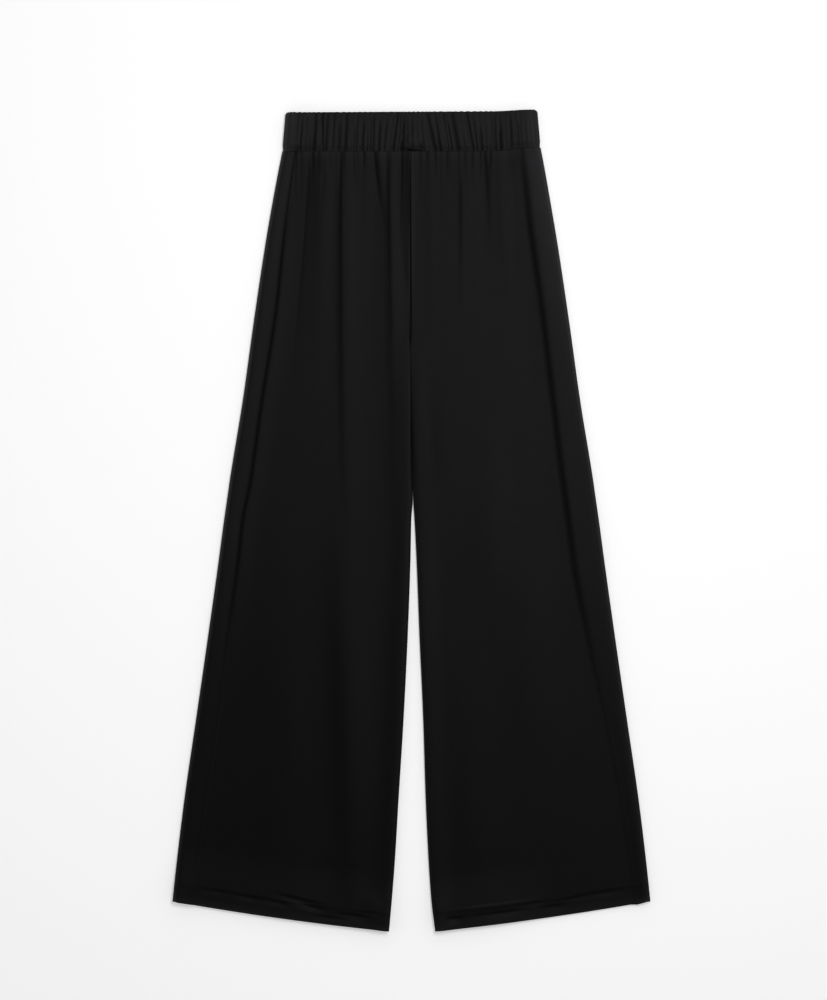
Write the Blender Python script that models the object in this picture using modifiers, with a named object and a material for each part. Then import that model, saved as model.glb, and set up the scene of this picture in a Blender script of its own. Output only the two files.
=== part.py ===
"""Wide-leg cropped trousers with a gathered elastic waistband, laid flat with the front up.

Frame: the origin is on the floor under the middle of the garment, +X points to the wearer's
left, +Y to the waist and +Z up. "down" is the distance below the waist seam and "out" the
distance from the centre line. Sizes are in millimetres until a point is placed.
"""

from collections import namedtuple

import bmesh
import bpy
import numpy as np

MM = 0.001

# Garment
SIDE_LENGTH = 902.0
INNER_LENGTH = 938.0
HEM_BULGE = 2.4
RISE = 244.0
BAND_HEIGHT = 46.0
BAND_HALF_TOP = 150.6
BAND_HALF_SEAM = 154.4
SEAM_GAP = 0.3
WAIST_SEAM_Y = (INNER_LENGTH - BAND_HEIGHT) / 2

# Cloth, and the heights of its outer face over the floor
CLOTH = 1.0
FRONT_LEVEL = 4.4
LOWEST_FRONT = 2.7

# Folded side, where the back panel comes round onto the front
EDGE_LEVEL = 7.0
EDGE_DEPTH = 8.0

# Side seams and the centre seams above the crotch
SEAM_LEVEL = 4.6
SEAM_CROWN = 1.4
SEAM_CROWN_WIDTH = 12.0
SEAM_GROOVE = 1.2
SEAM_ZONE = 5.0

# Rolled inner edge of each leg, where front and back meet at the inseam
LIP_ZONE = 6.0
LIP_DEPTH = 4.0
LIP_LEVEL = 6.0
LIP_MIDDLE = 2.9
LIP_STEP = 0.6
LIP_RUN = 14.0
CROTCH_BLEND = 34.0
CROTCH_EASE = 1.0
CROTCH_EASE_RUN = 36.0

# Where the lip ends, the fold starts and the side seam lies, as shares across a leg's hem
LIP_SHARE = 0.02
FOLD_SHARE = 0.97
SIDE_SEAM_SHARE = 0.91

# Turned hem
HEM_DEPTH = 19.0
HEM_STEP = 6.0
HEM_THICKNESS = 0.6
STITCH_DIP = 0.5
STITCH_WIDTH = 4.0
HEM_LIFT = 4.0
LEFT_SIDE_LIFT = 0.6
LIFT_RUN = 70.0
LIFT_FADE = (95.0, 180.0)

# Waistband
BAND_INSIDE = 2.8
BAND_WALL = 2.2
BAND_LEVEL = 6.1
BAND_END_LEVEL = 7.4
BAND_EDGE_HEIGHT = 9.2
BAND_EDGE_DEPTH = 7.0
BAND_END_RISE = 18.0
BAND_ROLL = 1.2
BAND_SHOULDER = 6.0
BAND_CORNER = 1.6
BAND_TURN_STEPS = 10
BAND_GATHER_PITCH = 6.5
BAND_GATHER_HEIGHT = 0.8
BAND_LEAN = 5.0
BAND_LEAN_X = 45.0
BAND_LEAN_WIDTH = 32.0

# Gathers below the waist seam
BODY_GATHER_PITCH = 8.0
BODY_GATHER_HEIGHT = 0.9
BODY_GATHER_FADE = 22.0
WAIST_RISE = 1.3
WAIST_RISE_RUN = 30.0

# Mesh rows and columns
TOP_ROWS = (0.0, 6.0, 14.0, 25.0, 40.0)
MIDDLE_ROWS = 20
HEM_ROWS = (48.0, 25.0, HEM_DEPTH, 8.0, 0.0)
LIP_COLUMNS = 4
FRONT_COLUMNS = (LIP_COLUMNS, 22, 2)
BACK_COLUMNS = (LIP_COLUMNS, 4, 8, 4)
GATHER_CUTS = 2
STEPS_PER_GATHER = 4

Section = namedtuple("Section", "down outer inner_right inner_left strip_right strip_left")

# Half width to the folded side, where each leg's inner edge lies, and how far the back
# panel comes round onto the front before the side seam, on the wearer's right and left.
SECTIONS = (
    Section(0, 154.4, 0.15, 0.15, 17.0, 23.4),
    Section(36, 161.5, 0.15, 0.15, 18.5, 24.0),
    Section(108, 174.3, 0.15, 0.15, 20.5, 28.0),
    Section(204, 188.8, 0.15, 0.15, 24.7, 29.5),
    Section(300, 202.2, -0.3, 0.65, 23.0, 30.5),
    Section(396, 217.8, -1.4, 1.75, 25.5, 34.5),
    Section(420, 221.2, -1.55, 1.9, 24.0, 35.0),
    Section(444, 224.7, 0.1, 3.5, 22.5, 35.5),
    Section(492, 231.1, 1.1, 5.9, 22.0, 37.5),
    Section(588, 244.6, 4.6, 9.6, 25.0, 33.5),
    Section(684, 258.5, 9.4, 13.9, 27.0, 24.3),
    Section(780, 272.5, 15.4, 16.9, 26.0, 20.0),
    Section(852, 281.3, 19.7, 20.3, 25.0, 18.0),
    Section(902, 286.6, 23.6, 23.8, 24.5, 17.5),
    Section(940, 290.5, 27.0, 28.5, 24.0, 17.0),
)

Fold = namedtuple("Fold", "start end x_start x_middle x_end height left_width right_width")

# Folds of the front, each from start to end down the garment. A fold with unlike widths is
# a soft pleat: it stands steeply on one side and falls away gently on the other.
FOLDS = (
    Fold(-30, 290, -123, -134, -152, 2.2, 5, 12),
    Fold(-30, 470, -86, -84, -77, 4.4, 5, 15),
    Fold(-30, 125, -46, -40, -29, 3.0, 5, 9),
    Fold(-30, 390, -30, -26, -16, 3.8, 5, 10),
    Fold(-30, 250, -10, -9, -4, 1.6, 6, 6),
    Fold(-30, 240, 5, 6, 5, 1.8, 5, 16),
    Fold(10, 225, 58, 58, 57, 1.3, 5, 12),
    Fold(-30, 140, 91, 93, 96, 2.0, 5, 12),
    Fold(-30, 190, 105, 108, 118, 1.6, 9, 9),
    Fold(-30, 240, 121, 136, 150, -1.2, 8, 8),
    Fold(310, 430, 12, 12, 12, -1.5, 8, 8),
    Fold(380, 890, -46, -44, -40, 2.2, 22, 22),
    Fold(420, 890, -100, -98, -96, -1.4, 28, 28),
    Fold(340, 640, 88, 96, 102, 2.0, 24, 24),
    Fold(560, 900, 150, 160, 170, 1.4, 30, 30),
)
FOLD_FADE = 0.18


def smoothstep(share):
    """0 below 0, 1 above 1, and an even S curve between."""
    share = np.clip(share, 0.0, 1.0)
    return share * share * (3.0 - 2.0 * share)


def column(name, down):
    """A column of SECTIONS at any distance down, on a curve that never swings past its rows."""
    at = np.array([section.down for section in SECTIONS], float)
    values = np.array([getattr(section, name) for section in SECTIONS], float)
    step = np.diff(at)
    slope = np.diff(values) / step
    before, after = slope[:-1], slope[1:]
    same_way = before * after > 0
    total = np.where(same_way, before + after, 1.0)
    inside = np.where(same_way, 2.0 * before * after / total, 0.0)
    tangent = np.concatenate(([slope[0]], inside, [slope[-1]]))
    k = np.clip(np.searchsorted(at, down, side="right") - 1, 0, len(step) - 1)
    t = (down - at[k]) / step[k]
    first = values[k] * (1 + 2 * t) * (1 - t) ** 2 + tangent[k] * step[k] * t * (1 - t) ** 2
    second = values[k + 1] * t * t * (3 - 2 * t) - tangent[k + 1] * step[k] * t * t * (1 - t)
    return first + second


def side_column(name, side, down):
    """The column for the wearer's left (side 1) or right (side -1)."""
    return column(name + ("_left" if side > 0 else "_right"), down)


def hem_down(share):
    """How far down the hem lies, from the inner edge (share 0) to the folded side (share 1)."""
    straight = INNER_LENGTH + (SIDE_LENGTH - INNER_LENGTH) * share
    return straight + HEM_BULGE * 4.0 * share * (1.0 - share)


def hem_lift(x, up):
    """How far both layers stand off the floor near the hem, up being the way to the hem."""
    across = HEM_LIFT + (LEFT_SIDE_LIFT - HEM_LIFT) * smoothstep(
        (x - LIFT_FADE[0]) / (LIFT_FADE[1] - LIFT_FADE[0])
    )
    return across * (1.0 - smoothstep(up / LIFT_RUN))


def hem_relief(up):
    """The turned hem is thicker than the cloth, and its stitch line pulls in a little."""
    turned = HEM_THICKNESS * (1.0 - smoothstep((up - HEM_DEPTH) / HEM_STEP + 0.5))
    return turned - STITCH_DIP * np.exp(-(((up - HEM_DEPTH) / STITCH_WIDTH) ** 2))


def fold_relief(x, down):
    """The height that all the folds add at a point of the front."""
    relief = np.zeros_like(x)
    for fold in FOLDS:
        along = (down - fold.start) / (fold.end - fold.start)
        bend = fold.x_middle - (fold.x_start + fold.x_end) / 2.0
        straight = fold.x_start + (fold.x_end - fold.x_start) * along
        offset = x - straight - 4.0 * bend * along * (1.0 - along)
        width = np.where(offset < 0, fold.left_width, fold.right_width)
        taper = smoothstep(along / FOLD_FADE) * smoothstep((1.0 - along) / (1.0 - FOLD_FADE))
        relief += fold.height * taper * np.exp(-((offset / width) ** 2))
    return relief


def gather_phase(x, pitch):
    """Counts gathers along the waist, with a spacing that wanders by about a quarter."""
    return x / pitch + 0.4 * np.sin(x / 21.0 + 0.9) + 0.16 * np.sin(x / 8.3 + 2.1)


def gather_strength(x):
    """From 0.35 to 1 along the waist, so that no two gathers near each other are alike."""
    return 0.675 + 0.2 * np.sin(x / 11.0 + 1.3) + 0.125 * np.sin(x / 4.7)


def gather_relief(x, down):
    """The short gathers that the waist seam puts into the front, the strongest ones longest."""
    strength = gather_strength(x)
    wave = np.cos(2.0 * np.pi * gather_phase(x, BODY_GATHER_PITCH))
    fade = np.exp(-down / (BODY_GATHER_FADE * (0.5 + strength)))
    return BODY_GATHER_HEIGHT * strength * wave * fade


def leg_share(down):
    """0 above the crotch, where the panels meet at a centre seam, and 1 below it."""
    return smoothstep((down - RISE + CROTCH_BLEND) / CROTCH_BLEND)


def crotch_ease(down):
    """How far the front and the back stand apart beside the crotch, where four seams meet."""
    return CROTCH_EASE * np.exp(-(((down - RISE) / CROTCH_EASE_RUN) ** 2))


def lip(inner, inner_part):
    """The rolled inner edge of a leg: (out, rise from 0 to 1, share of its upright first column)."""
    first = 1.0 / LIP_COLUMNS
    upright = np.minimum(inner_part / first, 1.0)
    turn_part = ((inner_part - first) / (1.0 - first)).clip(0.0)
    turn = np.pi / 2 * turn_part
    out = inner + LIP_DEPTH * (1.0 - np.cos(turn)) + (LIP_ZONE - LIP_DEPTH) * turn_part**2
    return out, np.sin(turn), upright


def world(side, out, down, height):
    """Points in metres from distances in the garment's own terms."""
    return np.stack((side * out, WAIST_SEAM_Y - down, height), axis=-1) * MM


def place_front(side, station, down_share):
    """A front panel: a rolled inner edge (station 0 to 1), the flat (to 2) and the side seam (to 3)."""
    inner_part, flat_part, seam_part = (np.clip(station - zone, 0.0, 1.0) for zone in range(3))
    hem = hem_down(LIP_SHARE * inner_part + (SIDE_SEAM_SHARE - LIP_SHARE) * flat_part)
    down = down_share * hem
    inner = side_column("inner", side, down)
    edge = column("outer", down) - side_column("strip", side, down) - SEAM_GAP / 2
    flat_width = edge - inner - LIP_ZONE - SEAM_ZONE
    across = LIP_ZONE * inner_part + flat_width * flat_part + SEAM_ZONE * seam_part
    out = inner + across
    to_seam = edge - out
    x = side * out

    height = FRONT_LEVEL + fold_relief(x, down) + gather_relief(x, down)
    height += WAIST_RISE * np.exp(-down / WAIST_RISE_RUN)
    height += SEAM_CROWN * np.exp(-((to_seam / SEAM_CROWN_WIDTH) ** 2))
    height = LOWEST_FRONT + np.logaddexp(0.0, 2.0 * (height - LOWEST_FRONT)) / 2.0
    height += (SEAM_LEVEL - height) * (1.0 - to_seam / SEAM_ZONE).clip(0.0) ** 2
    centre_groove = SEAM_GROOVE * (1.0 - across / LIP_ZONE).clip(0.0) ** 2

    leg = leg_share(down)
    rolled_out, rise, upright = lip(inner, inner_part)
    start = LIP_MIDDLE + SEAM_GAP / 2 + crotch_ease(down) + LIP_STEP * upright
    rolled = start + (LIP_LEVEL - start) * rise
    beyond = np.exp(-(((across - LIP_ZONE) / LIP_RUN) ** 2))
    leg_height = np.where(station <= 1.0, rolled, height + (LIP_LEVEL - height) * beyond)
    out = np.where(station < 1.0, out + (rolled_out - out) * leg, out)
    height = (height - centre_groove) * (1.0 - leg) + leg_height * leg
    height += hem_relief(hem - down) * smoothstep(inner_part) + hem_lift(x, hem - down)
    return world(side, out, down, height)


def place_back(side, station, down_share):
    """A back panel, from its inner edge along the floor and round the fold to the side seam.

    Stations: 0 to 1 is the inner edge, to 2 the flat on the floor, to 3 the fold and to 4
    the strip that lies on top, as far as the side seam.
    """
    parts = [np.clip(station - zone, 0.0, 1.0) for zone in range(4)]
    inner_part, flat_part, fold_part, strip_part = parts
    angle = np.pi * fold_part
    share = LIP_SHARE * inner_part + (FOLD_SHARE - LIP_SHARE) * flat_part
    share += (1.0 - FOLD_SHARE) * np.sin(angle) - (FOLD_SHARE - SIDE_SEAM_SHARE) * strip_part
    hem = hem_down(share)
    down = down_share * hem
    inner = side_column("inner", side, down)
    flat_width = column("outer", down) - EDGE_DEPTH - inner - LIP_ZONE
    strip_width = side_column("strip", side, down) - EDGE_DEPTH - SEAM_GAP / 2
    out = inner + LIP_ZONE * inner_part + flat_width * flat_part
    out += EDGE_DEPTH * np.sin(angle) - strip_width * strip_part

    height = EDGE_LEVEL / 2 * (1.0 - np.cos(angle))
    height += (SEAM_LEVEL - EDGE_LEVEL) * strip_part**2 * (0.4 + 0.6 * strip_part**2)
    height += hem_relief(hem - down) * smoothstep(2.0 * strip_part)

    leg = leg_share(down)
    rolled_out, rise, upright = lip(inner, inner_part)
    start = LIP_MIDDLE - SEAM_GAP / 2 - crotch_ease(down) - LIP_STEP * upright
    out = np.where(station < 1.0, out + (rolled_out - out) * leg, out)
    height = np.where(station < 1.0, start * (1.0 - rise) * leg, height)
    height += hem_lift(side * out, hem - down)
    return world(side, out, down, height)


def cloth_material(name, colour, roughness):
    """A plain matt cloth."""
    material = bpy.data.materials.new(name)
    material.use_nodes = True
    shader = material.node_tree.nodes["Principled BSDF"]
    shader.inputs["Base Color"].default_value = (*colour, 1.0)
    shader.inputs["Roughness"].default_value = roughness
    shader.inputs["Metallic"].default_value = 0.0
    material.diffuse_color = (*colour, 1.0)
    return material


def finish_piece(name, mesh, material, collection):
    """Makes a named object of a mesh that is already in place."""
    mesh.shade_smooth()
    mesh.materials.append(material)
    piece = bpy.data.objects.new(name, mesh)
    collection.objects.link(piece)
    return piece


def stations(columns):
    """Column places: so many equal steps in each unit of the station."""
    steps = [np.arange(count) / count + zone for zone, count in enumerate(columns)]
    return np.concatenate(steps + [[float(len(columns))]])


def rows():
    """Row places down a panel as shares of its length: close at the gathers and at the hem."""
    top = np.array(TOP_ROWS)
    hem = INNER_LENGTH - np.array(HEM_ROWS)
    middle = np.linspace(top[-1], hem[0], MIDDLE_ROWS + 1)[1:-1]
    return np.concatenate((top, middle, hem)) / INNER_LENGTH


def row_of(vertex):
    """The row of a point of the square grid, counted from the waist."""
    return round((1.0 - vertex.co.y) / 2.0 * (len(rows()) - 1))


def panel_points(side, place, grid, columns, cuts):
    """Where each point of a square grid goes on the cloth.

    The extra columns that the gathers need end at the last of TOP_ROWS. There they lie on
    straight lines between the panel's own columns, so that no edge gapes.
    """
    station_at = stations(columns)
    last_column = len(station_at) - 1
    across = np.array([(vertex.co.x + 1.0) / 2.0 for vertex in grid.verts])
    index = np.round(across * last_column * (cuts + 1)) / (cuts + 1)
    row = np.array([row_of(vertex) for vertex in grid.verts])
    share = np.maximum(rows()[row], SEAM_GAP / INNER_LENGTH)
    points = place(side, np.interp(index, np.arange(last_column + 1), station_at), share)
    before = place(side, station_at[np.floor(index).astype(int)], share)
    after = place(side, station_at[np.ceil(index).astype(int)], share)
    between = (index % 1.0)[:, None]
    straight = before * (1.0 - between) + after * between
    return np.where((row == len(TOP_ROWS) - 1)[:, None], straight, points)


def make_panel(name, side, place, columns, facing, cuts, material, collection):
    """A leg panel: a grid carried to the cloth's outer face, then given its thickness inwards."""
    grid = bmesh.new()
    bmesh.ops.create_grid(
        grid, x_segments=sum(columns), y_segments=len(rows()) - 1, size=1.0
    )
    if cuts:
        crosswise = [
            edge
            for edge in grid.edges
            if row_of(edge.verts[0]) == row_of(edge.verts[1]) < len(TOP_ROWS)
        ]
        bmesh.ops.subdivide_edges(grid, edges=crosswise, cuts=cuts)
    for vertex, point in zip(grid.verts, panel_points(side, place, grid, columns, cuts)):
        vertex.co = point
    grid.normal_update()
    if facing * sum(face.normal.z * face.calc_area() for face in grid.faces) < 0:
        bmesh.ops.reverse_faces(grid, faces=grid.faces)
    mesh = bpy.data.meshes.new(name)
    grid.to_mesh(mesh)
    grid.free()
    panel = finish_piece(name, mesh, material, collection)
    wall = panel.modifiers.new("wall", "SOLIDIFY")
    wall.thickness = CLOTH * MM
    wall.offset = -1.0
    return panel


def loft(name, rings, material, collection):
    """A closed body through rings that all have the same number of points, with its ends capped."""
    count, around = rings.shape[:2]
    mesh_maker = bmesh.new()
    verts = [mesh_maker.verts.new(point) for point in rings.reshape(-1, 3)]
    for i in range(count - 1):
        for j in range(around):
            k = (j + 1) % around
            corners = (i * around + j, i * around + k, (i + 1) * around + k, (i + 1) * around + j)
            mesh_maker.faces.new([verts[corner] for corner in corners])
    mesh_maker.faces.new(verts[:around])
    mesh_maker.faces.new(verts[-around:])
    bmesh.ops.recalc_face_normals(mesh_maker, faces=mesh_maker.faces)
    mesh = bpy.data.meshes.new(name)
    mesh_maker.to_mesh(mesh)
    mesh_maker.free()
    return finish_piece(name, mesh, material, collection)


def band_half(down):
    """Half the waistband's width, a little narrower at its top."""
    return BAND_HALF_SEAM + (BAND_HALF_TOP - BAND_HALF_SEAM) * -down / BAND_HEIGHT


def band_corner(down):
    """How far the waistband's top corners are rounded off at its sides."""
    return BAND_CORNER * max(1.0 - (BAND_HEIGHT + down) / (2 * BAND_ROLL), 0.0) ** 2


def band_section(wall, wave):
    """The waistband cut across: (down, depth below the outer face) round a casing with a rolled top.

    The first point is inside at the waist seam, and a gather stands out most just above it.
    """
    seam, top = -SEAM_GAP, -BAND_HEIGHT
    return (
        (seam, wall),
        (top + BAND_ROLL, wall),
        (top, wall / 2),
        (top + BAND_ROLL, BAND_ROLL / 3 - 0.4 * wave),
        (top + BAND_SHOULDER, -0.75 * wave),
        (top / 2, -0.8 * wave),
        (seam - BAND_SHOULDER, -wave),
        (seam - BAND_ROLL, BAND_ROLL / 4 - wave),
        (seam, BAND_ROLL),
    )


def gather_columns(x_from, x_to, pitch):
    """Places along the waist at equal steps of the gathers' count, so that each has its crest."""
    x = np.linspace(x_from, x_to, 4000)
    steps = gather_phase(x, pitch) * STEPS_PER_GATHER
    whole = np.arange(np.ceil(steps[0] + 0.4), steps[-1] - 0.4)
    return np.concatenate(([x_from], np.interp(whole, steps, x), [x_to]))


def band_wave(x):
    """The height of the casing's gathers at the waist seam."""
    wave = np.cos(2.0 * np.pi * gather_phase(x, BAND_GATHER_PITCH))
    return BAND_GATHER_HEIGHT * gather_strength(x + 40.0) * wave


def make_front_band(material, collection):
    """The front of the casing: gathers raised on its outer face over a plain inside."""
    left = BAND_HALF_SEAM - SECTIONS[0].strip_left - SEAM_GAP / 2
    right = SECTIONS[0].strip_right + SEAM_GAP / 2 - BAND_HALF_SEAM
    rings = []
    for x in gather_columns(right, left, BAND_GATHER_PITCH):
        to_end = min(x - right, left - x)
        rise = np.exp(-((to_end / BAND_END_RISE) ** 2))
        level = BAND_LEVEL + (BAND_END_LEVEL - BAND_LEVEL) * rise
        wave = band_wave(x) * smoothstep(to_end / BAND_GATHER_PITCH)
        lean = BAND_LEAN * np.exp(-(((x - BAND_LEAN_X) / BAND_LEAN_WIDTH) ** 2))
        ring = []
        for down, depth in band_section(level - BAND_INSIDE, wave):
            x_here = x * band_half(down) / BAND_HALF_SEAM + lean * down / BAND_HEIGHT
            ring.append(world(1.0, x_here, down, level - depth))
        rings.append(ring)
    return loft("waistband_front", np.array(rings), material, collection)


def band_spine():
    """The back casing's outer face as (x, height, x normal, height normal, share of the gathers).

    It runs from the seam on the wearer's left round that side, along the floor and up again.
    """
    half_height = BAND_EDGE_HEIGHT / 2
    turn_x = BAND_HALF_SEAM - BAND_EDGE_DEPTH
    halves = []
    for side, strip in ((1.0, SECTIONS[0].strip_left), (-1.0, SECTIONS[0].strip_right)):
        seam_x = BAND_HALF_SEAM - strip + SEAM_GAP / 2
        half = []
        for x in gather_columns(seam_x, turn_x, BAND_GATHER_PITCH)[:-1]:
            share = (turn_x - x) / (turn_x - seam_x)
            height = BAND_EDGE_HEIGHT + (BAND_END_LEVEL - BAND_EDGE_HEIGHT) * share**2
            half.append((side * x, height, 0.0, 1.0, smoothstep(4 * share * (1 - share))))
        for angle in np.linspace(np.pi / 2, -np.pi / 2, BAND_TURN_STEPS + 1):
            across, upward = np.cos(angle), np.sin(angle)
            normal = np.array((side * across / BAND_EDGE_DEPTH, upward / half_height))
            normal /= np.linalg.norm(normal)
            x = side * (turn_x + BAND_EDGE_DEPTH * across)
            half.append((x, half_height * (1 + upward), normal[0], normal[1], 0.0))
        halves.append(half)
    return halves[0] + halves[1][::-1]


def make_back_band(material, collection):
    """The back of the casing: flat on the floor and turned up and over at both sides."""
    rings = []
    for x, height, normal_x, normal_z, gathered in band_spine():
        ring = []
        for down, depth in band_section(BAND_WALL, band_wave(x) * gathered):
            x_here = (x - normal_x * depth) * band_half(down) / BAND_HALF_SEAM
            x_here -= normal_x * band_corner(down)
            ring.append(world(1.0, x_here, down, height - normal_z * depth))
        rings.append(ring)
    return loft("waistband_back", np.array(rings), material, collection)


def main():
    for old in list(bpy.data.objects):
        bpy.data.objects.remove(old, do_unlink=True)
    trousers = bpy.data.collections.new("cropped_trousers")
    bpy.context.scene.collection.children.link(trousers)
    jersey = cloth_material("black_jersey", (0.012, 0.012, 0.013), 0.9)
    back_jersey = cloth_material("black_jersey_back", (0.011, 0.011, 0.012), 0.9)
    casing = cloth_material("black_jersey_casing", (0.015, 0.015, 0.016), 0.85)
    for name, side in (("left", 1.0), ("right", -1.0)):
        front = (f"front_{name}", side, place_front, FRONT_COLUMNS, 1, GATHER_CUTS)
        back = (f"back_{name}", side, place_back, BACK_COLUMNS, -1, 0)
        make_panel(*front, jersey, trousers)
        make_panel(*back, back_jersey, trousers)
    make_front_band(casing, trousers)
    make_back_band(casing, trousers)


main()
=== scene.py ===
"""Looks of the wide-leg cropped trousers, laid flat on a pale floor with the front up.

The frame is the CAD part's own: the origin is on the floor under the middle of the garment,
+X points to the wearer's left, +Y to the waist and +Z up. "down" is the distance below the
waist seam, "out" the distance from the centre line and "up" the distance above the hem.
Sizes are in millimetres until a point is placed.
"""

import logging
from abc import ABC, abstractmethod
from dataclasses import dataclass, field
from enum import Enum
from typing import ClassVar, NamedTuple

import bpy
import numpy as np
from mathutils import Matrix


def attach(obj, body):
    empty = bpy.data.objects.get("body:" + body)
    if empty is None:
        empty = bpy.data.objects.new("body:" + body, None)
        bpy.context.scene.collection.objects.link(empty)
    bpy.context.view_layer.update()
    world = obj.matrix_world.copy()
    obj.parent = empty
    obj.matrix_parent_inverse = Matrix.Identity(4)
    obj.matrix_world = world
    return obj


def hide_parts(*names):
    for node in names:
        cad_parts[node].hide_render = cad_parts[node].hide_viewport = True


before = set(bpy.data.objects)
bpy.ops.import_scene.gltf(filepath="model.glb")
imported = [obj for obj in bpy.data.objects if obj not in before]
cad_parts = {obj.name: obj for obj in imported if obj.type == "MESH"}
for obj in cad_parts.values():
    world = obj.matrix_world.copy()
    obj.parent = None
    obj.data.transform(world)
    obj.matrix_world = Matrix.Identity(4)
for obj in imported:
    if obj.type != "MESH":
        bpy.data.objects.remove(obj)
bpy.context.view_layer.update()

LOG = logging.getLogger("cropped_trousers")
MM = 0.001
BODY = "root"
UV_LAYER = "cloth"
# The mesh attribute of painted shading: painted shade above 0, painted highlight below 0.
PAINTED_SHADING_LAYER = "hollow"
# The strongest painted highlight that the attribute may hold.
MOST_PAINTED_HIGHLIGHT = -14.0
SHARP_ANGLE = 0.9
Array = np.ndarray


# Shared arithmetic


def smoothstep(share: Array) -> Array:
    """0 below 0, 1 above 1, and an even S curve between: 3 s^2 - 2 s^3."""
    share = np.clip(share, 0.0, 1.0)
    return share * share * (3.0 - 2.0 * share)


def unit(vectors: Array) -> Array:
    """The same directions with a length of one."""
    length = np.linalg.norm(vectors, axis=-1, keepdims=True)
    return vectors / np.maximum(length, 1e-12)


def spread(*runs: tuple[float, float, int]) -> Array:
    """Places along a line, run after run.

    Args:
        runs: each (from, to, steps), starting where the one before it ends.

    Returns:
        All the places in order, the last end included.
    """
    parts = [np.linspace(start, end, steps, endpoint=False) for start, end, steps in runs]
    return np.concatenate(parts + [np.array([runs[-1][1]])])


def bell(offset: Array, width: float | Array) -> Array:
    """1 in the middle and falling softly to both sides: e to the minus (offset / width)^2."""
    return np.exp(-((offset / width) ** 2))


def at_least(least: float, share: Array) -> Array:
    """A share raised evenly, so that 0 becomes the least and 1 stays 1."""
    return least + (1.0 - least) * share


def zones(station: Array, count: int) -> list[Array]:
    """How much of each zone of a panel's width lies before a station, from 0 to 1."""
    return [np.clip(station - zone, 0.0, 1.0) for zone in range(count)]


class Change(NamedTuple):
    """A value that goes from one level to another between two places, in an S curve."""

    before: float
    after: float
    start: float
    end: float

    def at(self, place: Array) -> Array:
        """The value at any place: before + (after - before) times the S curve."""
        share = smoothstep((place - self.start) / (self.end - self.start))
        return self.before + (self.after - self.before) * share


class Wave(NamedTuple):
    """A sine along a line: height times sin(place / length + phase)."""

    length: float
    phase: float
    height: float = 1.0


def waves(place: Array, parts: tuple[Wave, ...]) -> Array:
    """The sum of a few sines."""
    return sum(wave.height * np.sin(place / wave.length + wave.phase) for wave in parts)


class Side(Enum):
    """Which of the wearer's legs a piece belongs to, as the sign of its X."""

    LEFT = 1.0
    RIGHT = -1.0

    @property
    def word(self) -> str:
        """The side's name in small letters."""
        return self.name.lower()


# Tables of the garment, in millimetres


class Section(NamedTuple):
    """One level of both legs: half width, inner edges, and how far the back comes round."""

    down: float
    outer: float
    inner_right: float
    inner_left: float
    strip_right: float
    strip_left: float


class Fold(NamedTuple):
    """A soft ridge down the front (or, with a height below zero, a trough).

    It has its own width on each side of its crest.
    """

    start: float
    end: float
    x_start: float
    x_middle: float
    x_end: float
    height: float
    left_width: float
    right_width: float


class Crease(NamedTuple):
    """A sharp valley down the front, at the foot of a pleat or under the gathers.

    Its shade is the shade painted into its bottom's colour, and at 1 the colour is the deep
    black alone. The two broad ones beside the centre seam have next to no depth, and are
    there for their painted shade.
    """

    start: float
    end: float
    x_start: float
    x_middle: float
    x_end: float
    depth: float
    width: float
    shade: float


class Dimple(NamedTuple):
    """A small dip (or, with a height over zero, a small swelling) near the hem."""

    x: float
    up: float
    height: float
    half_length: float
    half_width: float
    slant: float


class BandCrease(NamedTuple):
    """A strong gather of the waistband, from the waist seam to a share of its height."""

    x_seam: float
    x_top: float
    reach: float
    depth: float
    width: float


class Bump(NamedTuple):
    """One bell curve of a sum, at its own place along the waist."""

    x: float
    height: float
    width: float


class Dent(NamedTuple):
    """A dip of the waistband: a bell curve along it and one over shares of its height."""

    x: float
    share: float
    depth: float
    half_length: float
    half_height: float


SECTIONS = (
    Section(0, 154.4, 1.75, -1.65, 17.0, 23.4),
    Section(36, 161.5, 1.75, -1.65, 18.5, 25.0),
    Section(108, 174.3, 1.75, -1.65, 21.4, 29.3),
    Section(204, 188.8, 1.75, -1.65, 25.2, 30.5),
    Section(300, 202.2, 0.65, -0.6, 23.4, 32.2),
    Section(396, 217.8, -1.0, 1.03, 25.5, 36.0),
    Section(420, 221.2, -1.6, 1.85, 24.0, 36.2),
    Section(444, 224.7, 0.1, 3.5, 22.5, 36.4),
    Section(492, 231.1, 1.1, 5.9, 23.8, 36.6),
    Section(588, 244.6, 4.6, 9.6, 24.2, 31.4),
    Section(684, 258.5, 9.4, 13.9, 27.0, 24.3),
    Section(780, 272.5, 15.4, 16.9, 26.0, 20.0),
    Section(852, 281.3, 19.7, 20.3, 25.0, 18.0),
    Section(902, 286.6, 23.6, 23.8, 24.5, 17.5),
    Section(940, 290.5, 27.0, 28.5, 24.0, 17.0),
)

FOLDS = (
    Fold(-30, 330, -104, -112, -128, 1.3, 18, 18),
    Fold(-30, 560, -82.5, -81, -74, 1.7, 5.5, 17),
    Fold(-30, 110, -41, -36, -26, 1.2, 5, 8),
    Fold(-30, 400, -24, -23, -15, 1.6, 6, 9),
    Fold(10, 225, 62, 62, 61, 0.8, 5, 12),
    Fold(-30, 150, 93, 95, 98, 1.1, 5, 13),
    Fold(-30, 210, 108, 110, 119, 0.9, 7, 10),
    Fold(250, 440, 15, 14, 14, -1.3, 8, 14),
    Fold(300, 470, -20, -16, -12, 0.7, 12, 8),
    Fold(340, 1040, -88, -76, -62, 2.3, 17, 26),
    Fold(400, 1040, -150, -150, -140, 0.9, 34, 26),
    Fold(280, 620, 92, 95, 96, 1.1, 30, 20),
    Fold(360, 860, 128, 142, 158, 1.0, 30, 26),
    Fold(560, 1040, 66, 76, 84, 1.1, 26, 34),
)

# The last column is the shade painted into each crease.
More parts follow.
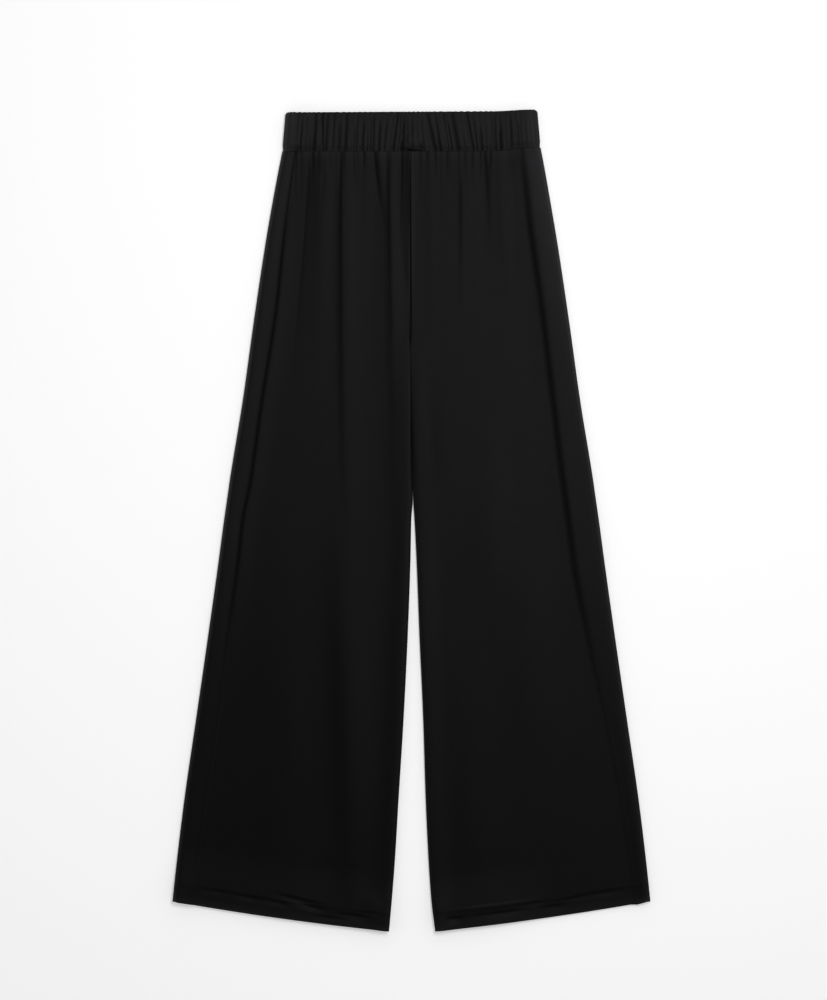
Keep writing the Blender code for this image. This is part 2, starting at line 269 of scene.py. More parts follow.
CREASES = (
    Crease(-50, 330, -120, -132, -152, 0.5, 2.4, 0.45),
    Crease(-70, 330, -85.2, -86, -83.5, 0.5, 1.9, 0.8),
    Crease(-36, 112, -47.5, -41.5, -29, 0.7, 1.7, 0.9),
    Crease(-60, 330, -30, -27.6, -21, 0.5, 2.2, 0.5),
    Crease(-20, 150, -11.6, -13.8, -15.8, 0.7, 1.5, 1.0),
    Crease(-40, 90, -86, -85.4, -86, 0.5, 1.5, 0.7),
    Crease(240, 540, 7, 12, 19, 0.2, 11, 1.6),
    Crease(120, 450, -31, -24, -15, 0.0, 12, 1.0),
    Crease(20, 200, 57, 57, 57, 0.3, 1.8, 0.15),
    Crease(0, 130, 89, 91, 94, 0.4, 2.0, 0.2),
    Crease(-6, 66, -69, -70, -66, 0.5, 2.0, 0.35),
    Crease(20, 90, -106, -107, -109, 0.3, 2.0, 0.2),
    Crease(-6, 34, -140, -139, -139, 0.5, 1.8, 0.6),
    Crease(-6, 40, -119, -119, -119, 0.5, 1.8, 0.5),
    Crease(-6, 30, -99, -99, -99, 0.4, 1.6, 0.4),
    Crease(-6, 34, -58, -58, -57, 0.5, 1.8, 0.5),
    Crease(-6, 28, 17, 17, 17, 0.5, 1.8, 0.5),
    Crease(-6, 38, 28, 28, 28, 0.6, 2.0, 0.6),
    Crease(-6, 46, 41, 41, 40, 0.6, 2.2, 0.7),
    Crease(-6, 36, 56, 56, 56, 0.6, 2.4, 0.6),
    Crease(-6, 32, 71, 71, 71, 0.4, 2.0, 0.4),
    Crease(-6, 48, 82, 82, 82, 0.6, 2.4, 0.6),
    Crease(-6, 36, 94, 94, 95, 0.5, 2.0, 0.5),
    Crease(-6, 52, 118, 119, 121, 0.6, 2.2, 0.6),
)

DIMPLES = (
    Dimple(-134, 24.5, -1.3, 20, 3.6, -0.09),
    Dimple(-160, 18, -0.8, 14, 3.0, -0.05),
    Dimple(-118, 18, -0.8, 12, 3.0, -0.08),
    Dimple(-68, 14, -1.0, 16, 3.4, 0.0),
    Dimple(-196, 19, -0.9, 11, 3.0, 0.0),
    Dimple(-228, 20, -0.5, 16, 2.6, 0.04),
    Dimple(-44, 20, -0.6, 14, 2.6, 0.05),
    Dimple(-98, 8, -0.5, 18, 3.0, 0.0),
    Dimple(50, 13, -1.4, 10, 3.6, 0.0),
    Dimple(106, 13, -0.9, 26, 3.0, 0.0),
    Dimple(98, 23, 0.6, 34, 2.8, 0.0),
    Dimple(-44, 32, 0.8, 9, 16, 0.0),
    Dimple(200, 19, -0.5, 18, 2.8, 0.05),
    Dimple(172, 12, -0.6, 14, 3.2, 0.0),
    Dimple(235, 20, -0.6, 14, 2.8, 0.0),
    Dimple(145, 19, -0.5, 12, 2.4, 0.0),
)

BAND_CREASES = (
    BandCrease(-137, -135, 0.5, 0.6, 1.4),
    BandCrease(-126, -126, 0.6, 0.5, 1.2),
    BandCrease(-117.6, -118.4, 1.0, 1.5, 1.5),
    BandCrease(-106.8, -110.2, 1.0, 1.5, 1.5),
    BandCrease(-89.4, -89.4, 0.65, 0.9, 1.5),
    BandCrease(-81, -81, 1.0, 1.0, 1.5),
    BandCrease(-69.6, -69.6, 0.6, 0.8, 1.3),
    BandCrease(-59.4, -59, 0.7, 1.1, 1.6),
    BandCrease(-49.8, -49.8, 0.8, 1.0, 1.5),
    BandCrease(-40.2, -39, 0.7, 0.8, 1.4),
    BandCrease(-23.4, -17.4, 1.0, 1.2, 1.7),
    BandCrease(-11.4, -9, 0.8, 0.9, 2.2),
    BandCrease(28.2, 17.4, 1.0, 1.6, 1.6),
    BandCrease(34.5, 27.5, 0.9, 1.1, 1.4),
    BandCrease(44.4, 37.8, 1.0, 1.1, 1.4),
    BandCrease(55.8, 47.4, 1.0, 1.5, 1.6),
    BandCrease(73.8, 66.6, 1.0, 1.5, 1.6),
    BandCrease(84.6, 82.2, 0.6, 0.7, 1.4),
    BandCrease(99, 96.6, 0.8, 0.9, 1.5),
    BandCrease(107.4, 107.4, 0.5, 0.7, 1.4),
    BandCrease(118.2, 120, 0.8, 0.9, 1.4),
    BandCrease(127.8, 129, 0.7, 0.8, 1.4),
)


class Lay(NamedTuple):
    """How one side lies: the seam's height, the steps to it, and the rolled outer edge.

    The steps are soft, as wide as the zone on each side of the seam, and fade down the leg.
    A highlight is painted along the edge over a width, and on the side a little near the
    waist; the lower leg gets painted shade, and its inner edge a painted highlight.
    """

    seam_level: float
    crown: float
    strip_step: float
    zone: float
    edge_level: float
    roll: float
    shown: Change
    wear: float
    highlight_width: float
    waist_wear: float
    lower_leg_shade: float
    inner_wear: float


LAYS = {
    Side.LEFT: Lay(5.9, 0.4, 1, 6.5, 7, 7, Change(1, 0, 430, 720), 12, 4.6, 4.2, 0.3, 3),
    Side.RIGHT: Lay(5.2, 1.2, -0.5, 3.8, 6.2, 6, Change(1, 0, 440, 660), 14, 3.8, 0.7, 0.4, 1.5),
}


@dataclass(frozen=True)
class Cut:
    """The sizes that the pieces share, and the lines that they are cut and laid to."""

    side_length: float = 902.0
    inner_length: float = 938.0
    hem_bulge: float = 2.4
    rise: float = 244.0
    band_height: float = 46.0
    band_half_top: float = 150.6
    band_half_seam: float = 154.4
    seam_gap: float = 0.1
    seam_drop: float = 3.0
    cloth: float = 1.0
    lip_zone: float = 6.0
    lip_depth: Change = Change(1.3, 4.0, 290.0, 420.0)
    lip_power: Change = Change(4.0, 2.0, 290.0, 420.0)
    lip_level: Change = Change(4.7, 6.0, 205.0, 420.0)
    lip_middle: float = 2.9
    lip_step: float = 0.6
    lip_first: float = 0.25
    crotch_blend: float = 34.0
    crotch_ease: float = 1.0
    crotch_ease_run: float = 36.0
    lip_share: float = 0.02
    fold_share: float = 0.97
    side_seam_share: float = 0.91
    low_seam_level: float = 4.9
    low_edge_level: float = 5.7
    # The next eleven fields set painted shading: shade beside the side seams and the stitching,
    # highlights along the outer fold, the waist and the hem, and shade on the lower leg.
    seam_hollow: Change = Change(0.8, 0.48, 380.0, 620.0)
    seam_painted_shade_width: Change = Change(0.42, 0.924, 380.0, 620.0)
    below_waist: Change = Change(0.1, 1.0, 30.0, 130.0)
    stitched_hollow: float = 0.05
    stitched_width: float = 1.0
    highlight_kept: Change = Change(1.0, 0.3, 200.0, 950.0)
    waist_highlight_run: float = 190.0
    waist_highlight_width: float = 22.0
    lower_leg: Change = Change(0.0, 1.0, 380.0, 620.0)
    hem_wear: float = 3.2
    hem_highlight_width: float = 6.5
    hem_depth: float = 19.0
    hem_step: float = 6.0
    hem_level: float = -0.1
    hem_waves: tuple[Wave, ...] = (Wave(17.0, 0.4), Wave(9.1, 2.2), Wave(41.0, 1.0))
    hem_uneven: Change = Change(0.1, 1.0, -1.225, 2.275)
    stitch_dip: float = 0.2
    stitch_above: float = 2.4
    stitch_below: float = 7.0
    # Shade painted along the hem's stitch line.
    stitch_hollow: float = 0.12
    hem_lift: Change = Change(4.0, 0.6, 95.0, 180.0)
    lift_run: float = 70.0
    waist_pull: Change = Change(0.0, 4.4, 98.0, 140.0)
    waist_pull_fade: float = 55.0
    waist_pull_top: float = 0.34
    sections: tuple[Section, ...] = SECTIONS

    @property
    def waist_y(self) -> float:
        """The waist seam's Y, which puts the middle of the garment at the origin."""
        return (self.inner_length - self.band_height) / 2.0

    def column(self, name: str, down: Array) -> Array:
        """A column of the sections at any distance down.

        Each stretch is the cubic 3 t^2 - 2 t^3 between two rows, with the harmonic mean of
        its neighbours' slopes at each row, so that the line never swings past its rows.

        Args:
            name: a field of Section.
            down: distances below the waist seam.

        Returns:
            The column's value at each of them.
        """
        at = np.array([section.down for section in self.sections], float)
        values = np.array([getattr(section, name) for section in self.sections], float)
        step = np.diff(at)
        slope = np.diff(values) / step
        before, after = slope[:-1], slope[1:]
        same_way = before * after > 0
        total = np.where(same_way, before + after, 1.0)
        inside = np.where(same_way, 2.0 * before * after / total, 0.0)
        tangent = np.concatenate(([slope[0]], inside, [slope[-1]]))
        k = np.clip(np.searchsorted(at, down, side="right") - 1, 0, len(step) - 1)
        t = (down - at[k]) / step[k]
        first = values[k] * (1 + 2 * t) * (1 - t) ** 2 + tangent[k] * step[k] * t * (1 - t) ** 2
        second = values[k + 1] * t * t * (3 - 2 * t)
        return first + second - tangent[k + 1] * step[k] * t * t * (1 - t)

    def side_column(self, name: str, side: Side, down: Array) -> Array:
        """The column that belongs to one of the wearer's sides."""
        return self.column(f"{name}_{side.word}", down)

    def hem_down(self, share: Array) -> Array:
        """How far down the hem lies, from the inner edge (share 0) to the fold (share 1)."""
        straight = self.inner_length + (self.side_length - self.inner_length) * share
        return straight + self.hem_bulge * 4.0 * share * (1.0 - share)

    def lift(self, x: Array, up: Array) -> Array:
        """How far both layers stand off the floor near the hem, less on the wearer's left."""
        return self.hem_lift.at(x) * (1.0 - smoothstep(up / self.lift_run))

    def turned_hem(self, x: Array, up: Array) -> tuple[Array, Array]:
        """The turned hem's step less what its stitch line pulls in, and the shade painted there.

        The pull is a bell curve, steep above the line and gentle below it, and three sines
        along the hem make it uneven.

        Args:
            x: distances from the centre line, over 0 on the wearer's left.
            up: distances above the hem.

        Returns:
            Heights, and painted shade.
        """
        low, high = self.hem_depth - self.hem_step / 2, self.hem_depth + self.hem_step / 2
        turned = Change(self.hem_level, 0.0, low, high).at(up)
        beyond = up - self.hem_depth
        width = np.where(beyond > 0, self.stitch_above, self.stitch_below)
        uneven = self.hem_uneven.at(waves(x, self.hem_waves))
        pull = self.stitch_dip * uneven * bell(beyond, width)
        return turned - pull, self.stitch_hollow * uneven * bell(beyond, self.stitch_above)

    def seam_level(self, side: Side, down: Array) -> Array:
        """The side seam's height over the floor."""
        lay = LAYS[side]
        return self.low_seam_level + (lay.seam_level - self.low_seam_level) * lay.shown.at(down)

    def edge_level(self, side: Side, down: Array) -> Array:
        """The height of the cloth's top just inside the rolled outer edge."""
        lay = LAYS[side]
        return self.low_edge_level + (lay.edge_level - self.low_edge_level) * lay.shown.at(down)

    def seam_shade(self, side: Side, distance: Array, down: Array) -> Array:
        """How much shade is painted on the cloth beside a side seam.

        It is the sum of a broad bell curve and a narrow one. The broad one is faint at the
        waist, and down the leg it widens and fades.

        Args:
            side: which of the wearer's legs it is.
            distance: distances from the seam.
            down: distances below the waist seam.

        Returns:
            Painted shade.
        """
        lay = LAYS[side]
        depth = self.seam_hollow.at(down) * lay.shown.at(down) * self.below_waist.at(down)
        broad = depth * bell(distance, lay.zone * self.seam_painted_shade_width.at(down))
        return broad + self.stitched_hollow * bell(distance, self.stitched_width)

    def wear(self, side: Side, from_fold: Array, down: Array, up: Array) -> Array:
        """Painted highlights: bell curves along the outer fold and the hem's edge.

        The fold's fades down the leg, with a flat one beside it near the waist, and painted
        shade makes the lower leg darker.

        Args:
            side: which of the wearer's legs it is.
            from_fold: distances from the outer fold.
            down: distances below the waist seam.
            up: distances above the hem.

        Returns:
            What to take off the painted shading.
        """
        lay = LAYS[side]
        fold = lay.wear * self.highlight_kept.at(down) * bell(from_fold, lay.highlight_width)
        flat = np.exp(-((from_fold / self.waist_highlight_width) ** 4))
        fold += lay.waist_wear * bell(down, self.waist_highlight_run) * flat
        hem = self.hem_wear * bell(up, self.hem_highlight_width)
        return fold + hem - lay.lower_leg_shade * self.lower_leg.at(down)

    def leg(self, down: Array) -> Array:
        """0 above the crotch, where the panels meet at a centre seam, and 1 below it."""
        return smoothstep((down - self.rise + self.crotch_blend) / self.crotch_blend)

    def lip_start(self, down: Array, upright: Array) -> Array:
        """How far a leg's inner edge starts from the lip's middle, up or down.

        It is half the gap, the upright start's rise, and a bell curve at the crotch, where
        four seams meet and front and back stand apart.
        """
        ease = self.crotch_ease * bell(down - self.rise, self.crotch_ease_run)
        return self.seam_gap / 2 + ease + self.lip_step * upright

    def lip(self, inner: Array, part: Array, down: Array) -> tuple[Array, Array, Array]:
        """The rolled inner edge of a leg: an upright start, then a quarter turn.

        Args:
            inner: where the leg's inner edge lies.
            part: 0 at the inseam and 1 at the end of the roll.
            down: distances below the waist seam, which the roll widens with.

        Returns:
            How far out each point lies, its rise from 0 to 1, and the upright start's share.
        """
        upright = np.minimum(part / self.lip_first, 1.0)
        turn_part = ((part - self.lip_first) / (1.0 - self.lip_first)).clip(0.0)
        turn = np.pi / 2 * turn_part
        depth = self.lip_depth.at(down)
        spread_out = (self.lip_zone - depth) * turn_part ** self.lip_power.at(down)
        out = inner + depth * (1.0 - np.cos(turn)) + spread_out
        return out, np.sin(turn), upright

    def pull(self, x: Array, down: Array) -> Array:
        """How far the waist is pulled up at the wearer's left, where it lies askew.

        Args:
            x: distances from the centre line, over 0 on the wearer's left.
            down: distances below the waist seam.

        Returns:
            Distances up.
        """
        below = bell(np.maximum(down, 0.0), self.waist_pull_fade)
        above = 1.0 + (self.waist_pull_top - 1.0) * np.maximum(-down, 0.0) / self.band_height
        return self.waist_pull.at(x) * below * above

    def place(self, x: Array, down: Array, height: Array) -> Array:
        """Points in metres from distances in the garment's own terms."""
        y = self.waist_y - down + self.pull(x, down)
        return np.stack(np.broadcast_arrays(x, y, height), axis=-1) * MM


@dataclass(frozen=True)
class Gathers:
    """The uneven gathers of the waist, which the body and the waistband share."""

    wander: tuple[Wave, ...] = (Wave(21.0, 0.9, 0.4), Wave(8.3, 2.1, 0.16))
    usual: float = 0.5
    swell: tuple[Wave, ...] = (Wave(12.0, 1.3, 0.3), Wave(4.7, 0.6, 0.3), Wave(29.0, 0.0, 0.2))
    weakest: float = 0.05

    def phase(self, x: Array, pitch: float) -> Array:
        """Counts gathers along the waist, with a spacing that wanders by about a quarter."""
        return x / pitch + waves(x, self.wander)

    def strength(self, x: Array) -> Array:
        """From the weakest to 1 along the waist, so that no two near each other are alike."""
        return np.clip(self.usual + waves(x, self.swell), self.weakest, 1.0)


@dataclass(frozen=True)
class FrontRelief:
    """Everything that stands up from or sinks into the flat front, as heights over it."""

    gathers: Gathers
    folds: tuple[Fold, ...] = FOLDS
    creases: tuple[Crease, ...] = CREASES
    dimples: tuple[Dimple, ...] = DIMPLES
    starts_on_leg: float = 100.0
    waist_fade: float = 0.18
    leg_fade: float = 0.5
    gather_pitch: float = 8.0
    gather_height: float = 0.35
    # Shade painted in the valleys of the gathers.
    gather_shade: float = 0.5
    gather_fade: float = 16.0
    waist_rise: float = 0.9
    waist_rise_run: float = 30.0
    # A highlight painted just under the waist seam.
    waist_wear: float = 1.5
    waist_highlight_down: float = 4.0
    waist_highlight_width: float = 7.0
    crease_rounding: float = 0.7
    # Shade painted in the dimples, and highlight painted on the swellings.
    dimple_shade: float = 0.45
    dimple_reach: tuple[float, float] = (0.5, 1.5)
    streaks: tuple[Wave, ...] = (Wave(2.9, 0.6, 0.05), Wave(4.1, 2.0, 0.05), Wave(6.7, 4.1, 0.05))
    streak_lean: float = 0.02
    streak_run: float = 190.0

    def run(self, line: Fold | Crease, x: Array, down: Array) -> tuple[Array, Array]:
        """A line's offset and its taper: (x - bent line, S curve in times S curve out).

        A line that comes from the waist is soon at its full height, and one that starts on
        the leg grows slowly.

        Args:
            line: the fold or crease.
            x: distances from the centre line, over 0 on the wearer's left.
            down: distances below the waist seam.

        Returns:
            The offset, and the taper.
        """
        fade = self.waist_fade if line.start < self.starts_on_leg else self.leg_fade
        along = (down - line.start) / (line.end - line.start)
        bend = line.x_middle - (line.x_start + line.x_end) / 2.0
        straight = line.x_start + (line.x_end - line.x_start) * along
        offset = x - straight - 4.0 * bend * along * (1.0 - along)
        return offset, smoothstep(along / fade) * smoothstep((1.0 - along) / (1.0 - fade))

    def fold_height(self, x: Array, down: Array) -> Array:
        """The sum of the folds, each height times taper times a bell curve of the offset.

        Args:
            x: distances from the centre line, over 0 on the wearer's left.
            down: distances below the waist seam.

        Returns:
            Heights.
        """
        total = np.zeros_like(x)
        for fold in self.folds:
            offset, taper = self.run(fold, x, down)
            width = np.where(offset < 0, fold.left_width, fold.right_width)
            total += fold.height * taper * bell(offset, width)
        return total

    def crease_relief(self, x: Array, down: Array) -> tuple[Array, Array]:
        """The sums of the creases' heights and painted shades.

        Each is -depth, or the shade, times taper times exp(-|offset| / width).

        Args:
            x: distances from the centre line, over 0 on the wearer's left.
            down: distances below the waist seam.

        Returns:
            Heights, and painted shade.
        """
        height, shade = np.zeros_like(x), np.zeros_like(x)
        for crease in self.creases:
            offset, taper = self.run(crease, x, down)
            rounded = np.sqrt(offset**2 + self.crease_rounding**2) - self.crease_rounding
            near = taper * np.exp(-rounded / crease.width)
            height -= crease.depth * near
            shade += crease.shade * near
        return height, shade

    def dimple_height(self, x: Array, up: Array) -> Array:
        """The sum of the dimples, each height times a bell curve along it and one across.

        Each is three times as steep on its upper side, where the cloth hangs over it.

        Args:
            x: distances from the centre line, over 0 on the wearer's left.
            up: distances above the hem.

        Returns:
            Heights.
        """
        total = np.zeros_like(x)
        for dimple in self.dimples:
            beyond = x - dimple.x
            above = up - dimple.up - dimple.slant * beyond
            across = bell(above, dimple.half_width * np.where(above > 0, *self.dimple_reach))
            total += dimple.height * bell(beyond, dimple.half_length) * across
        return total

    def gather_relief(self, x: Array, down: Array) -> tuple[Array, Array]:
        """The short gathers under the waist seam: a cosine of their count that fades down.

        Args:
            x: distances from the centre line, over 0 on the wearer's left.
            down: distances below the waist seam.

        Returns:
            Heights, and the shade painted in their valleys.
        """
        strength = self.gathers.strength(x)
        wave = np.cos(2.0 * np.pi * self.gathers.phase(x, self.gather_pitch))
        fade = strength * np.exp(-down / (self.gather_fade * (0.5 + strength)))
        return self.gather_height * wave * fade, self.gather_shade * (0.5 - 0.5 * wave) * fade

    def streak_height(self, x: Array, down: Array) -> Array:
        """Faint drag lines that hang from the gathers, as three sines that fade down."""
        lean = x - self.streak_lean * down * np.sign(x)
        return waves(lean, self.streaks) * bell(down, self.streak_run)

    def relief(self, x: Array, down: Array, up: Array) -> tuple[Array, Array]:
        """All of the relief together: its height, and the shade or highlight painted at each place.

        Args:
            x: distances from the centre line, over 0 on the wearer's left.
            down: distances below the waist seam.
            up: distances above the hem.

        Returns:
            Heights, and painted shading.
        """
        creased, shade = self.crease_relief(x, down)
        gathered, gather_shade = self.gather_relief(x, down)
        dimpled = self.dimple_height(x, up)
        height = self.fold_height(x, down) + creased + gathered + self.streak_height(x, down)
        height += self.waist_rise * np.exp(-down / self.waist_rise_run) + dimpled
        # Painted shade in the dimples and painted highlight on the swellings.
        shade += gather_shade - self.dimple_shade * dimpled
        # A highlight painted just under the waist seam.
        lighter = self.waist_wear * bell(down - self.waist_highlight_down, self.waist_highlight_width)
        return height, shade - lighter


# Mesh making


def run_of(steps: Array) -> Array:
    """How far along a line each of its points is: the running sum of the steps, from 0."""
    return np.concatenate((np.zeros_like(steps[..., :1]), np.cumsum(steps, axis=-1)), axis=-1)


def quads(grid: Array, closed: bool = False) -> Array:
    """The corners of each cell of a grid.

    Args:
        grid: rows x columns point numbers, or rows x columns x 2 flat coordinates.
        closed: whether the last column is joined to the first.

    Returns:
        Cells x 4 point numbers, or cells x 4 x 2 flat coordinates.
    """
    if closed:
        grid = np.concatenate((grid, grid[:, :1]), axis=1)
    cells = np.stack((grid[:-1, :-1], grid[:-1, 1:], grid[1:, 1:], grid[1:, :-1]), axis=2)
    return cells.reshape(-1, *cells.shape[2:])


def tube_faces(count: int, around: int) -> tuple[Array, Array, Array]:
    """The faces of a tube of rings: its sides, and a fan about each end's middle point.

    The two middle points come after all the points of the rings.

    Args:
        count: the number of rings.
        around: the number of points in each ring.

    Returns:
        The sides and the two fans, as point numbers.
    """
    size = count * around
    grid = np.arange(size).reshape(count, around)
    turned = np.roll(grid, -1, axis=1)
    start = np.stack((np.full(around, size), turned[0], grid[0]), axis=-1)
    end = np.stack((np.full(around, size + 1), grid[-1], turned[-1]), axis=-1)
    return quads(grid, closed=True), start, end


@dataclass(frozen=True)
class Shell:
    """A sheet of cloth with its thickness, as one closed mesh.

    The outer grid holds the given points P. The inner grid is P - t n, where t is the
    thickness and n the unit normal, the cross product of the differences along rows and
    columns. Round the edge, half an ellipse joins the two: it starts at the outer point,
    swells away from the sheet by the rim's own amount and ends at the inner point.
    """

    thickness: float = 1.0
    rim_steps: int = 3
    seam_swell: float = 0.1
    hem_swell: float = 0.45
    inner_shift: float = 0.4
    from_behind: ClassVar[list[int]] = [1, 0, 3, 2]  # a face's corners, to turn it over

    def boundary(self, rows: int, columns: int) -> tuple[Array, Array]:
        """The grid's edge points once round, and which way each faces, as (row, column) steps.

        Args:
            rows: the number of rows.
            columns: the number of columns.

        Returns:
            Point numbers, and steps.
        """
        grid = np.arange(rows * columns).reshape(rows, columns)
        parts = (grid[0, :-1], grid[:-1, -1], grid[-1, :0:-1], grid[:0:-1, 0])
        ways = ((-1.0, 0.0), (0.0, 1.0), (1.0, 0.0), (0.0, -1.0))
        facing = np.concatenate([np.tile(way, (len(part), 1)) for part, way in zip(parts, ways)])
        starts = np.cumsum([0] + [len(part) for part in parts[:-1]])
        for corner, before in zip(starts, np.roll(np.array(ways), 1, axis=0)):
            facing[corner] += before
        return np.concatenate(parts), facing

    def mesh(self, name: str, points: Array, hollow: Array, outward: float) -> bpy.types.Mesh:
        """Builds the closed mesh.

        Args:
            name: the mesh's name.
            points: rows x columns x 3 points in metres.
            hollow: rows x columns, the shade painted at each point, or below 0 its highlight.
            outward: 1 if most of the outer face looks up, and -1 if it looks down.

        Returns:
            The mesh, with a UV map in metres of cloth.
        """
        rows, columns = points.shape[:2]
        down, along = np.gradient(points, axis=0), np.gradient(points, axis=1)
        normal = unit(np.cross(along, down))
        normal *= np.sign(normal[..., 2].sum() * outward)
        inner = points - normal * self.thickness * MM
        loop, facing = self.boundary(rows, columns)
        way = facing[:, :1] * unit(down.reshape(-1, 3)[loop])
        way += facing[:, 1:] * unit(along.reshape(-1, 3)[loop])
        swell = np.where(facing[:, 0] > 0.5, self.hem_swell, self.seam_swell)[:, None] * MM
        top, bottom = points.reshape(-1, 3)[loop], inner.reshape(-1, 3)[loop]
        angle = np.pi * np.arange(1, self.rim_steps + 1)[:, None, None] / (self.rim_steps + 1)
        middle, half = (top + bottom) / 2.0, (top - bottom) / 2.0
        rim = middle + half * np.cos(angle) + unit(way) * swell * np.sin(angle)

        size = rows * columns
        outer_faces = quads(np.arange(size).reshape(rows, columns))
        between = 2 * size + np.arange(self.rim_steps * len(loop)).reshape(-1, len(loop))
        rings = np.vstack((loop, between, loop + size))
        rim_faces = quads(rings, closed=True)[:, self.from_behind]
        flat = self.flat_map(points).reshape(-1, 2)
        level = np.linspace(0.0, 1.0, len(rings))[:, None, None]
        rim_flat = flat[loop] + facing[:, ::-1] * self.thickness * MM * level
        inner_uv = flat[outer_faces[:, ::-1]] + (self.inner_shift, 0.0)
        painted_shading_values = hollow.ravel()
        return closed_mesh(
            name,
            np.vstack((points.reshape(-1, 3), inner.reshape(-1, 3), rim.reshape(-1, 3))),
            (outer_faces, outer_faces[:, ::-1] + size, rim_faces),
            (flat[outer_faces], inner_uv, quads(rim_flat, closed=True)[:, self.from_behind]),
            np.concatenate((painted_shading_values, 0.0 * painted_shading_values, np.tile(painted_shading_values[loop], self.rim_steps))),
        )

    def flat_map(self, points: Array) -> Array:
        """The cloth's own flat coordinates: lengths along the rows, and distances down.

        Args:
            points: rows x columns x 3 points in metres.

        Returns:
            Rows x columns x 2 flat coordinates in metres.
        """
        u = run_of(np.linalg.norm(np.diff(points, axis=1), axis=-1))
        v = points[:1, :, 1].max() - points[..., 1]
        return np.stack((u, v), axis=-1)


def closed_mesh(
    name: str,
    points: Array,
    faces: tuple[Array, ...],
    uvs: tuple[Array, ...],
    hollow: Array | None = None,
) -> bpy.types.Mesh:
    """A smooth mesh from arrays, turned so that its faces point outwards.

    The sign of the volume, the sum of a . (b x c) / 6 over the faces' triangles, says
    whether they already do.

    Args:
        name: the mesh's name.
        points: all the points in metres.
        faces: groups of faces, each faces x corners, as point numbers.
        uvs: for each group, faces x corners x 2 flat coordinates.
        hollow: the shade painted at each point, up to 1, or below 0, its painted highlight.

    Returns:
        The mesh with its UV map and its painted shading.
    """
    volume = 0.0
    for group in faces:
        for k in range(1, group.shape[1] - 1):
            a, b, c = points[group[:, 0]], points[group[:, k]], points[group[:, k + 1]]
            volume += np.einsum("ij,ij->", a, np.cross(b, c))
    if volume < 0:
        faces = tuple(group[:, ::-1] for group in faces)
        uvs = tuple(group[:, ::-1] for group in uvs)
    mesh = bpy.data.meshes.new(name)
    mesh.from_pydata(points.tolist(), [], [face for group in faces for face in group.tolist()])
    layer = mesh.uv_layers.new(name=UV_LAYER)
    layer.data.foreach_set("uv", np.concatenate([group.reshape(-1) for group in uvs]))
    if hollow is not None:
        painted_shading_values = mesh.attributes.new(PAINTED_SHADING_LAYER, "FLOAT", "POINT")
        painted_shading_values.data.foreach_set("value", np.clip(hollow, MOST_PAINTED_HIGHLIGHT, 1.0))
    mesh.shade_smooth()
    mesh.set_sharp_from_angle(angle=SHARP_ANGLE)
    mesh.update()
    return mesh


def tube_mesh(name: str, rings: Array, hollow: Array) -> bpy.types.Mesh:
    """A closed body through rings of points, each end closed by a fan about its middle.

    Args:
        name: the mesh's name.
        rings: rings x points x 3 points in metres.
        hollow: rings x points, the shade painted at each point, or below 0 its highlight.

    Returns:
        The mesh, with lengths along it and round it as its UV map.
    """
    sides, *ends = tube_faces(*rings.shape[:2])
    points = np.vstack((rings.reshape(-1, 3), rings[0].mean(axis=0), rings[-1].mean(axis=0)))
    along = np.linalg.norm(np.diff(rings.mean(axis=1), axis=0), axis=-1)
    around = np.linalg.norm(np.roll(rings, -1, axis=1) - rings, axis=-1).mean(axis=0)
    flat = np.stack(np.meshgrid(run_of(along), run_of(around), indexing="ij"), axis=-1)
    caps = [points[fan][..., 1:] - points[fan][..., 1:].min(axis=(0, 1)) for fan in ends]
    painted_shading_values = np.append(hollow.ravel(), (0.0, 0.0))
    return closed_mesh(name, points, (sides, *ends), (quads(flat), *caps), painted_shading_values)


def dress(mesh: bpy.types.Mesh, material: bpy.types.Material) -> bpy.types.Object:
    """Makes an object of a finished mesh, in the scene and at the origin.

    Args:
        mesh: the finished mesh.
        material: its finish.

    Returns:
        The object.
    """
    mesh.materials.append(material)
    piece = bpy.data.objects.new(mesh.name, mesh)
    bpy.context.scene.collection.objects.link(piece)
    return piece


# Pieces


@dataclass
class Panel(ABC):
    """What the front and the back of a leg share.

    A station counts the zones of the panel's width from the inner edge, one to each zone.
    """

    cut: Cut
    side: Side
    layer: ClassVar[str]
    columns: ClassVar[tuple[int, ...]]
    row_steps: ClassVar[tuple[int, ...]]
    outward: ClassVar[float]
    stitched: ClassVar[tuple[float, float]]
    row_ends: ClassVar[tuple[float, ...]] = (3.0, 60.0, 300.0, 900.0, 938.0)

    @property
    def node(self) -> str:
        """The CAD node that the panel stands for."""
        return f"{self.layer}_{self.side.word}"

    @abstractmethod
    def hem_at(self, station: Array) -> Array:
        """How far down this panel's hem lies at each station."""

    @abstractmethod
    def surface(self, station: Array, down_share: Array) -> tuple[Array, Array]:
        """The cloth's outer face in metres, and its painted shade, or below 0 its painted
        highlight.
        """

    def mesh(self, name: str) -> bpy.types.Mesh:
        """The panel as a shell, on rows and columns that lie close together at the seams.

        Args:
            name: the mesh's name.

        Returns:
            The mesh.
        """
        ends = self.row_ends
        share = spread(*zip(ends, ends[1:], self.row_steps)) / self.cut.inner_length
        stations = spread(*((zone, zone + 1.0, steps) for zone, steps in enumerate(self.columns)))
        points, hollow = self.surface(*np.meshgrid(stations, share))
        return Shell(self.cut.cloth).mesh(name, points, hollow, self.outward)


